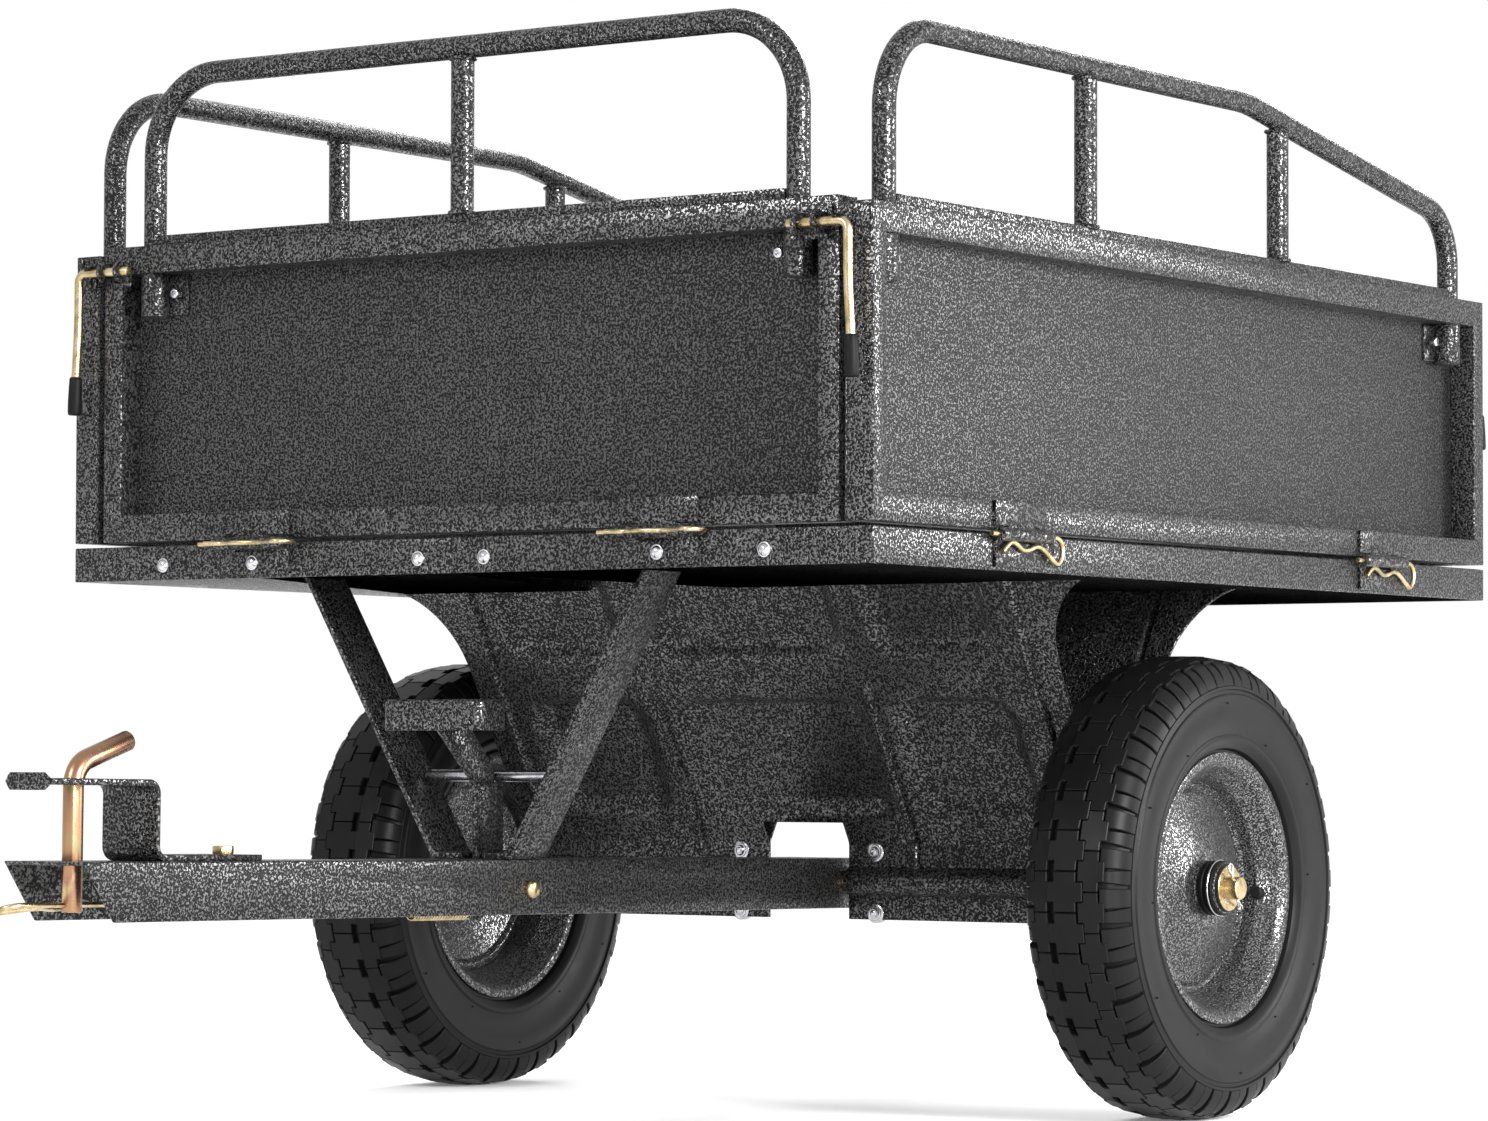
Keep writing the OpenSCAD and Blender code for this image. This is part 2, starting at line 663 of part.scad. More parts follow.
// The side panels' local x runs backwards, so the legs change sign
module side_frame() black_paint() side_up()
    panel_frame(half_length, side_panel_height, [-side_front_leg, -side_rear_leg]);
module side_sheet() black_paint() side_up()
    panel_sheet(half_length, side_panel_height, [[-side_front_leg, 1], [-side_rear_leg, -1]]);
module side_fittings() black_paint() {
    side_up() {
        translate([-side_front_leg, 0, 0]) socket(side_panel_height, 1);
        translate([-side_rear_leg, 0, 0]) socket(side_panel_height, -1);
    }
    side_hinges() upper_leaf();
    both_ends() hook();
}
module side_screws() silver_zinc() side_up() {
    translate([-side_front_leg, 0, 0]) socket_screw(side_panel_height, 1);
    translate([-side_rear_leg, 0, 0]) socket_screw(side_panel_height, -1);
}

module left_frame() cart() side_frame();
module left_sheet() cart() side_sheet();
module left_fittings() cart() side_fittings();
module left_screws() cart() side_screws();
module right_frame() cart() mirror([0, 1, 0]) side_frame();
module right_sheet() cart() mirror([0, 1, 0]) side_sheet();
module right_fittings() cart() mirror([0, 1, 0]) side_fittings();
module right_screws() cart() mirror([0, 1, 0]) side_screws();

// ---- rails -------------------------------------------------------------------------

// Hoop with hollow legs, solid posts and a flat bar that rests on the panel.
// A post is given by its place and its top.
module rail(path, bends, posts, panel_top, bore_top) {
    first = path[0];
    last = path[len(path) - 1];
    difference() {
        bent_rod(path, bends, tube_radius);
        for (i = [0, 1]) translate([[first.x, last.x][i], first.y - 1, 0]) rotate([-90, 0, 0])
            cylinder(r = tube_bore, h = bore_top[i] - first.y);
    }
    for (p = posts) translate([p.x, panel_top + 1, 0]) rotate([-90, 0, 0])
        cylinder(r = tube_radius, h = p.y - panel_top - tube_radius);
    block([min(first.x, last.x) + tube_radius - 1, panel_top, -7],
        [max(first.x, last.x) - tube_radius + 1, panel_top + bar_height, 7]);
}

module front_rail() black_paint() cart() translate([half_length - rail_inset, 0, 0])
    rotate([90, 0, 90]) {
        top = rail_top - tube_radius;
        low = end_panel_top + leg_bottom;
        rail([[-end_leg_at, low], [-end_leg_at, top], [end_leg_at, top], [end_leg_at, low]],
            [70, 70], [[0, top]], end_panel_top, [top - 75, top - 75]);
    }

module side_rail(side) black_paint() cart() translate([0, side * (half_width - rail_inset), 0])
    mirror([0, 1, 0]) rotate([90, 0, 0]) {
        top = rail_top - tube_radius - 9;
        low = side_panel_top + leg_bottom;
        slope = rail_drop / (side_kink - side_rear_leg);
        rail([[side_front_leg, low], [side_front_leg, top], [side_kink, top],
            [side_rear_leg, top - rail_drop], [side_rear_leg, low]], [70, 160, 55],
            [[side_posts[0], top], [side_posts[1], top - slope * (side_kink - side_posts[1])]],
            side_panel_top, [top - 75, top - rail_drop - 60]);
    }

module left_rail() side_rail(1);
module right_rail() side_rail(-1);

// ---- corner latches ------------------------------------------------------------------

module latch_rod() translate([half_length + latch_out, 0, end_panel_top - latch_down])
    rotate([90, 0, 90])
        bent_rod([[latch_inner, 0], [latch_bend, 0], [latch_bend, -latch_drop]], [7], latch_radius);

module latch_grip() translate([half_length + latch_out, latch_bend, end_panel_top - latch_down])
    difference() {
        translate([0, 0, -latch_drop - 28]) cylinder(r = 6, h = grip_length);
        translate([0, 0, -latch_drop]) cylinder(r = latch_radius, h = 40);
    }

module latch_front_left() yellow_zinc() cart() latch_rod();
module latch_front_right() yellow_zinc() cart() mirror([0, 1, 0]) latch_rod();
module latch_rear_left() yellow_zinc() cart() mirror([1, 0, 0]) latch_rod();
module latch_rear_right() yellow_zinc() cart() mirror([1, 0, 0]) mirror([0, 1, 0]) latch_rod();
module grip_front_left() rubber() cart() latch_grip();
module grip_front_right() rubber() cart() mirror([0, 1, 0]) latch_grip();
module grip_rear_left() rubber() cart() mirror([1, 0, 0]) latch_grip();
module grip_rear_right() rubber() cart() mirror([1, 0, 0]) mirror([0, 1, 0]) latch_grip();

drawbar_channel();
axle();
axle_washers();
axle_cotters();
hitch_plate();
hitch_plate_bolt();
pedal_pivot();
pedal_spring();
tyre_left();
tyre_right();
inner_tube_left();
inner_tube_right();
rim_left();
rim_right();
bearings_left();
bearings_right();
floor_left();
floor_right();
support_front();
support_rear();
brace_left();
brace_right();
latch_striker();
floor_bolts();
support_bolts();
bed_hinges();
pedal_lever();
pedal_pad();
hitch_pin();
hitch_clip();
front_frame();
front_sheet();
front_fittings();
front_screws();
left_frame();
left_sheet();
left_fittings();
left_screws();
right_frame();
right_sheet();
right_fittings();
right_screws();
rear_frame();
rear_sheet();
rear_fittings();
front_rail();
left_rail();
right_rail();
latch_front_left();
latch_front_right();
latch_rear_left();
latch_rear_right();
grip_front_left();
grip_front_right();
grip_rear_left();
grip_rear_right();
front_clips();
left_clips();
right_clips();
rear_clips();
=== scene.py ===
# %% [markdown]
# # Tow behind cart
# A steel tipping trailer for a garden tractor. Its bed is folded sheet steel, its panels and
# rails are held by hairpin clips and rods, and it rolls on two pneumatic tyres. The packed
# model gives the size and place of every part. Here each part gets its folded edges, bends,
# tread, waves and finish. First come the camera and the finishes, and then the pieces.

# %% Load the frame
import json
import math

import bpy
from mathutils import Matrix, Vector

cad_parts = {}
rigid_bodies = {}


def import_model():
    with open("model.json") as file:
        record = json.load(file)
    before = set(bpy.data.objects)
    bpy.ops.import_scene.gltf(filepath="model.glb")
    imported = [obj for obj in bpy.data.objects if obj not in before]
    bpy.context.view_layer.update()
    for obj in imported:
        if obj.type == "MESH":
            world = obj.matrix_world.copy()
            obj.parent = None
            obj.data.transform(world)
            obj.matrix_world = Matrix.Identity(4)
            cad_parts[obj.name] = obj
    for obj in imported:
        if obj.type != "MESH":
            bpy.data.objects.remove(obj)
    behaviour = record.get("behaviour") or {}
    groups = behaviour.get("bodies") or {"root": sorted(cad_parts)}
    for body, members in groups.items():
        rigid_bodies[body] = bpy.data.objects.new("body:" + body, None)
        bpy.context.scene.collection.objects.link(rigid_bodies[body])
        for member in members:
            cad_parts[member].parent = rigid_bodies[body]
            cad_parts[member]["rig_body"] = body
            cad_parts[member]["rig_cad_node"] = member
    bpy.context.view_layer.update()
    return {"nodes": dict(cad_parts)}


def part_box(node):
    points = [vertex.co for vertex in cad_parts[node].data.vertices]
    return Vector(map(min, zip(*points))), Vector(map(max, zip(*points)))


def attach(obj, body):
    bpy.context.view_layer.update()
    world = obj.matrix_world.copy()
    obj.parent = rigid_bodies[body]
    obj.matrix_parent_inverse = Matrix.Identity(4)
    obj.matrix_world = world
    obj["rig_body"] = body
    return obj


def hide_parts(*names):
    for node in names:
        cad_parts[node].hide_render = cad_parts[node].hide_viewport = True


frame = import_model()
nodes = frame["nodes"]

# %% [markdown]
# ## Main measures
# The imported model's origin is under the middle of the whole cart, and the axle is a quarter
# of a metre behind it. The axle is a handy zero for everything on the bed and the wheels, so
# its place is read from the frame once. HUB is the axle's height and TRACK is how far a
# wheel's middle is from the middle of the cart, both in millimetres. The drawbar climbs a
# little towards the hitch, and a point on it is given by how far it is along the bar,
# across it and above it.

# %% Main measures
axle_low, axle_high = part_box("axle")
AXLE_X = (axle_low.x + axle_high.x) / 2
AXLE_Z = (axle_low.z + axle_high.z) / 2
MM = 0.001
HUB, TRACK = 203, 396
CLIMB = math.radians(0.67)


def at(x, y, z):
    """A point in metres from millimetres ahead of the axle, to the left and above the ground."""
    return Vector((AXLE_X + x * MM, y * MM, z * MM))


def on_bar(along, across, above):
    """A point from millimetres along, across and above the middle of the climbing drawbar."""
    x = along * math.cos(CLIMB) - above * math.sin(CLIMB)
    z = along * math.sin(CLIMB) + above * math.cos(CLIMB)
    return Vector((AXLE_X + x * MM, across * MM, AXLE_Z + z * MM))


print("axle at", round(AXLE_X, 4), round(AXLE_Z, 4))

# %% [markdown]
# ## Camera
# The cart is seen from a low place ahead of its left front corner. A long lens keeps the
# verticals nearly upright. A Track To constraint could aim it, but a camera looks along its
# own -Z, so its turn follows from the direction of view alone, and a small roll comes last.

# %% Camera
EYE = Vector((3.5879, 2.5823, 0.3140))
YAW, TILT, ROLL = math.radians(34.69), math.radians(2.29), math.radians(0.14)
level = Vector((-math.cos(YAW), -math.sin(YAW), 0)) * math.cos(TILT)
sight = level + Vector((0, 0, math.sin(TILT)))
bpy.ops.object.camera_add(location=EYE)
camera = bpy.context.object
camera.name = "camera"
camera.data.sensor_width = 36.0
camera.data.lens = 120.69
facing = sight.to_track_quat("-Z", "Y").to_matrix()
camera.rotation_euler = (facing @ Matrix.Rotation(ROLL, 3, "Z")).to_euler()
camera.data.clip_start, camera.data.clip_end = 0.05, 100
bpy.context.scene.camera = camera
print("camera", [round(v, 3) for v in camera.location])

# %% [markdown]
# ## Writing finishes as sums
# A finish in Blender is a graph of nodes. Wiring each Math node by hand hides the idea, so
# one small class wraps a socket, and +, * and 1 - mask on it add the Math nodes. Any other
# node comes from one method, which takes the node's type, its settings and its inputs.

# %% Shader sums
class Wire:
    """One output socket. Sums of wires and numbers add Math nodes to the same finish."""

    def __init__(self, finish, socket):
        self.finish, self.socket = finish, socket

    def sum(self, operation, left, right):
        return self.finish.node("ShaderNodeMath", {"operation": operation}, {0: left, 1: right})

    def __add__(self, other):
        return self.sum("ADD", self, other)

    def __mul__(self, other):
        return self.sum("MULTIPLY", self, other)

    def __rsub__(self, other):
        return self.sum("SUBTRACT", other, self)

    __radd__, __rmul__ = __add__, __mul__


class Finish:
    """A material with a Principled shader, and one method that adds any node to it."""

    def __init__(self, name):
        self.material = bpy.data.materials.new(name)
        self.material.use_nodes = True
        self.tree = self.material.node_tree
        self.shader = self.tree.nodes["Principled BSDF"]
        where = self.tree.nodes.new("ShaderNodeTexCoord")
        self.place = Wire(self, where.outputs["Object"])

    def fill(self, node, inputs):
        for key, value in inputs.items():
            socket = node.inputs[key]
            if isinstance(value, Wire):
                self.tree.links.new(value.socket, socket)
            else:
                socket.default_value = value

    def node(self, kind, settings, inputs, output=0):
        made = self.tree.nodes.new(kind)
        for key, value in settings.items():
            if key == "stops":
                ramp = made.color_ramp
                while len(ramp.elements) < len(value):
                    ramp.elements.new(0.5)
                for stop, (position, colour) in zip(ramp.elements, value):
                    stop.position, stop.color = position, (*colour, 1)
            else:
                setattr(made, key, value)
        self.fill(made, inputs)
        return Wire(self, made.outputs[output])

    def noise(self, scale, detail=2.0, roughness=0.5, distortion=0.0):
        return self.node("ShaderNodeTexNoise", {}, {"Vector": self.place, "Scale": scale,
            "Detail": detail, "Roughness": roughness, "Distortion": distortion})

    def ramp(self, factor, *stops):
        return self.node("ShaderNodeValToRGB", {"stops": stops}, {"Fac": factor})

    def mix(self, factor, first, second):
        inputs = {0: factor, 6: first, 7: second}
        return self.node("ShaderNodeMix", {"data_type": "RGBA"}, inputs, 2)

    def bump(self, height, distance):
        return self.node("ShaderNodeBump", {}, {"Height": height, "Distance": distance,
            "Strength": 1.0})

    def shade(self, **inputs):
        """Sets the shader's own sockets. Spaces in their names are written as underscores."""
        self.fill(self.shader, {key.replace("_", " "): value for key, value in inputs.items()})
        return self.material


def grey(value):
    return (value, value, value, 1)


print("shader sums ready")

# %% [markdown]
# ## Hammertone paint
# The cart is powder coated in charcoal hammertone: the paint shrinks into small worm-like
# cells while it cures, with dark valleys and shiny crowns about two millimetres apart. A
# picture would tile, so the cells come from stretched noise instead. The same value lifts
# the crowns, lightens them and makes them smoother, and slow noise varies the whole coat.

# %% Hammertone paint
def hammertone(name, crown, valley, shine, depth, cell):
    """Crown and valley are the two greys, and cell is the noise scale, about one a cell."""
    coat = Finish(name)
    cells = coat.noise(cell, detail=1.2, roughness=0.45, distortion=0.55)
    worms = coat.ramp(cells, (0.48, (0, 0, 0)), (0.575, (1, 1, 1)))
    cloud = coat.noise(9.0)
    dust = coat.noise(60.0, detail=3.0)
    tone = worms * (0.75 + 0.5 * cloud)
    colour = coat.mix(tone, grey(valley), grey(crown))
    normal = coat.bump(worms, depth)
    return coat.shade(Base_Color=colour, Metallic=0.68 + 0.2 * worms,
        Roughness=shine + 0.16 * (1 - worms) + 0.10 * dust, Normal=normal)


paint = hammertone("hammertone_charcoal",
    crown=0.132, valley=0.003, shine=0.23, depth=0.00100, cell=480.0)
# The rims are the same charcoal paint, but this copy is lighter and glossier: painted light for the
# brighter light and glints that the rims catch.
lit_rim_paint = hammertone("hammertone_rim_painted_light",
    crown=0.19, valley=0.012, shine=0.22, depth=0.00060, cell=640.0)
# The panel sheets are the same paint as the frames, but this copy is darker and rougher: painted
# shade for the sheets that sit recessed behind their frames.
shaded_sheet_paint = hammertone("hammertone_panel_painted_shade",
    crown=0.100, valley=0.003, shine=0.28, depth=0.00095, cell=500.0)
print("paints:", paint.name, lit_rim_paint.name, shaded_sheet_paint.name)

# %% [markdown]
# ## Zinc plating
# Pins, clips and latch rods are plated in yellow zinc, which shimmers from gold to copper
# and olive as the film's thickness changes. Screws, bolts and cotters are bright zinc. Both
# are metals, so the base colour tints the reflection, and fine scratches vary the gloss.

# %% Zinc plating
def plating(name, stops, patch, low, high):
    metal = Finish(name)
    film = metal.noise(patch, distortion=0.8)
    colour = metal.ramp(film, *stops)
    wear = metal.noise(700.0, detail=3.0, roughness=0.6)
    return metal.shade(Base_Color=colour, Metallic=1.0, Roughness=low + (high - low) * wear,
        Normal=metal.bump(wear, 0.00004))


GOLD, COPPER, ROSE = (0.44, 0.33, 0.17), (0.33, 0.19, 0.10), (0.30, 0.16, 0.11)
OLIVE, STRAW = (0.24, 0.23, 0.13), (0.52, 0.43, 0.28)
DULL, BRIGHT = (0.40, 0.40, 0.42), (0.62, 0.62, 0.64)
gold_zinc = plating("zinc_gold", ((0.30, OLIVE), (0.45, GOLD), (0.60, STRAW), (0.75, COPPER)),
    patch=60.0, low=0.18, high=0.38)
copper_zinc = plating("zinc_copper", ((0.28, OLIVE), (0.42, COPPER), (0.55, ROSE), (0.70, GOLD)),
    patch=34.0, low=0.20, high=0.40)
bright_zinc = plating("zinc_bright", ((0.3, DULL), (0.7, BRIGHT)),
    patch=120.0, low=0.16, high=0.34)
print("platings:", gold_zinc.name, copper_zinc.name, bright_zinc.name)

# %% [markdown]
# ## Rubber
# The tyres are black rubber with a slight bloom that dulls the raised faces, and the grips
# and valve stems are duller. Rubber isn't a metal: its colour is almost black, its gloss is
# turned down, and slow noise changes its roughness from place to place.

# %% Rubber
def moulded_rubber(name, tone, low, high, grain):
    rubber = Finish(name)
    bloom = rubber.noise(22.0, detail=3.0, roughness=0.6)
    fine = rubber.noise(grain, roughness=0.6)
    colour = rubber.mix(bloom, grey(tone * 0.65), grey(tone * 1.5))
    return rubber.shade(Base_Color=colour, Specular_IOR_Level=0.10,
        Roughness=low + (high - low) * bloom, Normal=rubber.bump(fine, 0.00007))


tyre_rubber = moulded_rubber("tyre_rubber", tone=0.0050, low=0.26, high=0.50, grain=900.0)
grip_rubber = moulded_rubber("grip_rubber", tone=0.004, low=0.38, high=0.58, grain=1500.0)
print("rubbers:", tyre_rubber.name, grip_rubber.name)

# %% [markdown]
# ## Working as by hand
# Every new piece starts from a primitive and is shaped in edit mode. An operator acts on
# all that is selected, so a few helpers keep the selection plain: one clears it, one picks
# faces, edges or corners by a rule on their place, and one finishes a piece. A finished
# piece gets smooth shading with sharp folds, a finish and a body to ride on.

# %% Selection
def clear():
    """Leaves edit mode and deselects everything."""
    if bpy.context.object and bpy.context.object.mode != "OBJECT":
        bpy.ops.object.mode_set(mode="OBJECT")
    bpy.ops.object.select_all(action="DESELECT")


def choose(piece):
    """Selects one piece alone and makes it the active one."""
    clear()
    piece.select_set(True)
    bpy.context.view_layer.objects.active = piece


def edit(kind="VERT"):
    """Edit mode, with the whole mesh selected."""
    bpy.ops.object.mode_set(mode="EDIT")
    bpy.ops.mesh.select_mode(type=kind)
    bpy.ops.mesh.select_all(action="SELECT")


def done():
    bpy.ops.object.mode_set(mode="OBJECT")


def pick(kind, rule):
    """Selects what passes the rule: corners by place, edges by their two ends, or faces."""
    done()
    mesh = bpy.context.object.data
    for group in (mesh.vertices, mesh.edges, mesh.polygons):
        group.foreach_set("select", [False] * len(group))
    items = {"VERT": mesh.vertices, "EDGE": mesh.edges, "FACE": mesh.polygons}[kind]
    for item in items:
        if kind == "VERT":
            item.select = rule(item.co)
        elif kind == "EDGE":
            item.select = rule(*(mesh.vertices[i].co for i in item.vertices))
        else:
            item.select = rule(item)
    bpy.ops.object.mode_set(mode="EDIT")
    bpy.ops.mesh.select_mode(type=kind)


# %% Modifiers and finishing
def modifier(piece, kind, **settings):
    """Adds a modifier and applies it at once."""
    bpy.context.view_layer.objects.active = piece
    made = piece.modifiers.new(kind.lower(), kind)
    for key, value in settings.items():
        setattr(made, key, value)
    bpy.ops.object.modifier_apply(modifier=made.name)


def round_edges(piece, width, steps=2, angle=40):
    modifier(piece, "BEVEL", width=width, segments=steps, limit_method="ANGLE",
        angle_limit=math.radians(angle), use_clamp_overlap=False, miter_outer="MITER_ARC")


def tidy_normals(piece):
    bpy.context.view_layer.objects.active = piece
    edit()
    bpy.ops.mesh.remove_doubles(threshold=1e-6)
    bpy.ops.mesh.normals_make_consistent(inside=False)
    done()


def finish(piece, name, body, coat, slot, *stands_for, smooth=35):
    """Names, smooths, paints and mounts one finished piece."""
    choose(piece)
    bpy.ops.object.transform_apply(location=True, rotation=True, scale=True)
    bpy.ops.object.shade_smooth_by_angle(angle=math.radians(smooth))
    piece.name = piece.data.name = name
    piece.data.materials.clear()
    piece.data.materials.append(coat)
    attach(piece, body)
    if stands_for:
        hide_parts(*stands_for)
    clear()
    return piece


# %% Joining and copying
SAME = Matrix.Identity(4)


def join(pieces):
    clear()
    for piece in pieces:
        piece.select_set(True)
    bpy.context.view_layer.objects.active = pieces[0]
    bpy.ops.object.join()
    return bpy.context.object


def copy_of(piece, turn=SAME):
    """A copy with its own mesh, moved by a matrix. A mirrored one is turned right side out."""
    choose(piece)
    bpy.ops.object.duplicate()
    made = bpy.context.object
    made.parent = None
    made.data.transform(turn)
    if turn.determinant() < 0:
        made.data.flip_normals()
    return made


MIRROR_Y = Matrix.Scale(-1, 4, (0, 1, 0))
MIRROR_X = (Matrix.Translation((AXLE_X, 0, 0)) @ Matrix.Scale(-1, 4, (1, 0, 0))
    @ Matrix.Translation((-AXLE_X, 0, 0)))
SIDES = {"left": SAME, "right": MIRROR_Y}
CORNERS = {"front_left": SAME, "front_right": MIRROR_Y,
    "rear_left": MIRROR_X, "rear_right": MIRROR_X @ MIRROR_Y}
print("mirrors for", *SIDES, *CORNERS)

# %% [markdown]
# ## Folded sheet steel
# The floor, frames, channel and leaves are sheet steel, and a fold or a cut edge catches a
# thin line of light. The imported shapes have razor-sharp edges. Their meshes aren't touched,
# so a copy is merged, its flat areas are dissolved into single faces, and a Bevel modifier
# rounds every edge sharper than 40 degrees. The copy then stands for the original.

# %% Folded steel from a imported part
def folded(node, body, width, steps=2, coat=paint):
    piece = copy_of(nodes[node])
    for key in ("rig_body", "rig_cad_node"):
        if key in piece:
            del piece[key]
    edit()
    bpy.ops.mesh.remove_doubles(threshold=2e-6)
    bpy.ops.mesh.dissolve_limited(angle_limit=math.radians(0.5))
    done()
    round_edges(piece, width, steps)
    return finish(piece, node + "_steel", body, coat, "black", node)


for node, width in (("floor_left", 0.0012), ("floor_right", 0.0012), ("bed_hinges", 0.0004),
        ("brace_left", 0.0009), ("brace_right", 0.0009)):
    folded(node, "bed", width)
folded("drawbar_channel", "drawbar", 0.0014, 3)
folded("pedal_lever", "pedal", 0.0008)
for side in ("front", "rear", "left", "right"):
    folded(side + "_frame", side + "_panel", 0.0009)
    folded(side + "_fittings", side + "_panel", 0.0004)
    # The sheets take the darker copy of the paint, which paints in their shade.
    folded(side + "_sheet", side + "_panel", 0.0005, 1, shaded_sheet_paint)
print("folded pieces done")

# %% [markdown]
# ## Bent tube and wire
# Rails, rods and clips are round bar that was bent cold. A path curve with a round bevel is
# the natural tool: it keeps its thickness through every bend. The corners are rounded with
# short steps first, and the curve is then turned into a mesh with closed ends.

# %% Paths
def rounded(corners, bends, step=7.5):
    """Points of a path whose inner corners are rounded with the given bend radii."""
    points = [Vector(corners[0])]
    for before, corner, after, bend in zip(corners, corners[1:], corners[2:], bends):
        before, corner, after = Vector(before), Vector(corner), Vector(after)
        come, go = (corner - before).normalized(), (after - corner).normalized()
        angle = come.angle(go)
        reach = bend * math.tan(angle / 2)
        inward = (go - come).normalized()
        centre = corner + inward * (bend / math.cos(angle / 2))
        start = corner - come * reach
        axis = come.cross(go).normalized()
        count = max(2, math.ceil(math.degrees(angle) / step))
        for i in range(count + 1):
            turn = Matrix.Rotation(angle * i / count, 3, axis)
            points.append(centre + turn @ (start - centre))
    points.append(Vector(corners[-1]))
    return points


def flowing(points, steps=6):
    """A smooth path through given points."""
    points = [Vector(p) for p in points]
    ends = [2 * points[0] - points[1]] + points + [2 * points[-1] - points[-2]]
    path = []
    for a, b, c, d in zip(ends, ends[1:], ends[2:], ends[3:]):
        for i in range(steps):
            t = i / steps
            path.append(0.5 * (2 * b + (c - a) * t + (2 * a - 5 * b + 4 * c - d) * t * t
                + (3 * b - a - 3 * c + d) * t ** 3))
    return path + [points[-1]]


# %% Bent bar
def bar(points, radius, sides, soft=0.0):
    """Round bar along a path, with its end edges rounded by soft."""
    clear()
    bpy.ops.curve.primitive_nurbs_path_add(location=(0, 0, 0))
    line = bpy.context.object
    line.data.splines.clear()
    spline = line.data.splines.new("POLY")
    spline.points.add(len(points) - 1)
    for point, place in zip(spline.points, points):
        point.co = (*place, 1)
    line.data.dimensions = "3D"
    line.data.twist_mode = "MINIMUM"
    line.data.bevel_depth = radius
    line.data.bevel_resolution = sides
    line.data.use_fill_caps = True
    bpy.ops.object.convert(target="MESH")
    piece = bpy.context.object
    if soft:
        tidy_normals(piece)
        round_edges(piece, soft, 2, 60)
    return piece


def hoop_frame(corners, bends, radius, posts, flat):
    """A rail: one bent tube, its posts with weld beads, and the flat bar on the panel."""
    parts = [bar(rounded(corners, bends, 6), radius, 6, 0.0012)]
    for foot, head in posts:
        parts.append(bar([foot, head], radius, 6))
        for end, up in ((foot, 1), (head, -1)):
            clear()
            bpy.ops.mesh.primitive_torus_add(location=Vector(end) + Vector((0, 0, up * 0.0015)),
                major_segments=28, minor_segments=8,
                major_radius=radius + 0.0004, minor_radius=0.0019)
            parts.append(bpy.context.object)
    low, high = flat
    clear()
    bpy.ops.mesh.primitive_cube_add(size=1, location=(low + high) / 2, scale=high - low)
    bpy.ops.object.transform_apply(scale=True)
    strip = bpy.context.object
    edit("FACE")
    pick("FACE", lambda f: f.normal.z < -0.5)
    bpy.ops.mesh.delete(type="FACE")
    done()
    modifier(strip, "SOLIDIFY", thickness=0.0018, offset=-1)
    round_edges(strip, 0.0007, 2)
    parts.append(strip)
    return join(parts)


TUBE = 10 * MM
print("rail tube", 2 * TUBE, "m thick")

# %% [markdown]
# ## Rails
# Three tube hoops stand in sockets behind the panels' outer faces. The front hoop is
# symmetric. Each side hoop drops towards the back after a gentle kink, and has two posts.
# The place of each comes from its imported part's box.

# %% Front rail
low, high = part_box("front_rail")
x = (low.x + high.x) / 2
half = high.y - TUBE
top, panel_top = high.z - TUBE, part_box("front_frame")[1].z
front_rail = hoop_frame([(x, -half, low.z), (x, -half, top), (x, half, top), (x, half, low.z)],
    [0.070, 0.070], TUBE, [((x, 0, panel_top + 0.008), (x, 0, top - TUBE + 0.0015))],
    (Vector((x - 0.007, -half + 0.009, panel_top + 0.0004)),
        Vector((x + 0.007, half - 0.009, panel_top + 0.009))))
finish(front_rail, "front_rail_hoop", "front_rail", paint, "black", "front_rail")
print("front rail", len(front_rail.data.polygons), "faces")

# %% Side rails
low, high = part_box("left_rail")
y = (low.y + high.y) / 2
front_x, rear_x = high.x - TUBE, low.x + TUBE
top, drop = high.z - TUBE, 0.069
kink = AXLE_X - 0.091
panel_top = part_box("left_frame")[1].z
slope = drop / (kink - rear_x)
posts = []
for x in (AXLE_X + 190 * MM, AXLE_X + -150 * MM):
    tube_z = top - max(0.0, kink - x) * slope
    posts.append(((x, y, panel_top + 0.008), (x, y, tube_z - TUBE + 0.0015)))
left_rail = hoop_frame([(front_x, y, low.z), (front_x, y, top), (kink, y, top),
    (rear_x, y, top - drop), (rear_x, y, low.z)], [0.070, 0.160, 0.055], TUBE, posts,
    (Vector((rear_x + 0.009, y - 0.007, panel_top + 0.0004)),
        Vector((front_x - 0.009, y + 0.007, panel_top + 0.009))))
right_rail = copy_of(left_rail, MIRROR_Y)
finish(left_rail, "left_rail_hoop", "left_rail", paint, "black", "left_rail")
finish(right_rail, "right_rail_hoop", "right_rail", paint, "black", "right_rail")
print("side rails", len(left_rail.data.polygons), "faces each")

# %% [markdown]
# ## Hairpin clips
# A hairpin clip is one spring wire: a straight leg that serves as the hinge pin, a round
# end, and a wavy leg that snaps against the hinge. Four bent tubes could be drawn one by
# one, but the wave is the same, so it is drawn once, flat, in millimetres along and down,
# and each clip is that path laid into its own plane.

# %% Hairpin clips
WIRE = 2.25 * MM
CLIP_WAVE = [(0, 0), (30, 0), (60, 0), (92, 0), (105, 1), (111.5, 7), (111, 15), (106.5, 21),
    (101.5, 21.8), (95, 18.5), (80, 10.5), (70, 8.8), (59, 11.6), (49, 12.2), (38, 7.4),
    (31, 6.4), (24, 9.5), (17, 14.5)]


def hairpin(origin, ahead, down, longer=1.0, deeper=1.0):
    """A clip whose straight leg starts at origin and points ahead. Its wave hangs down."""
    path = [origin + (ahead * u * longer + down * v * deeper) * MM for u, v in CLIP_WAVE]
    return bar(flowing(path, 5), WIRE, 3)


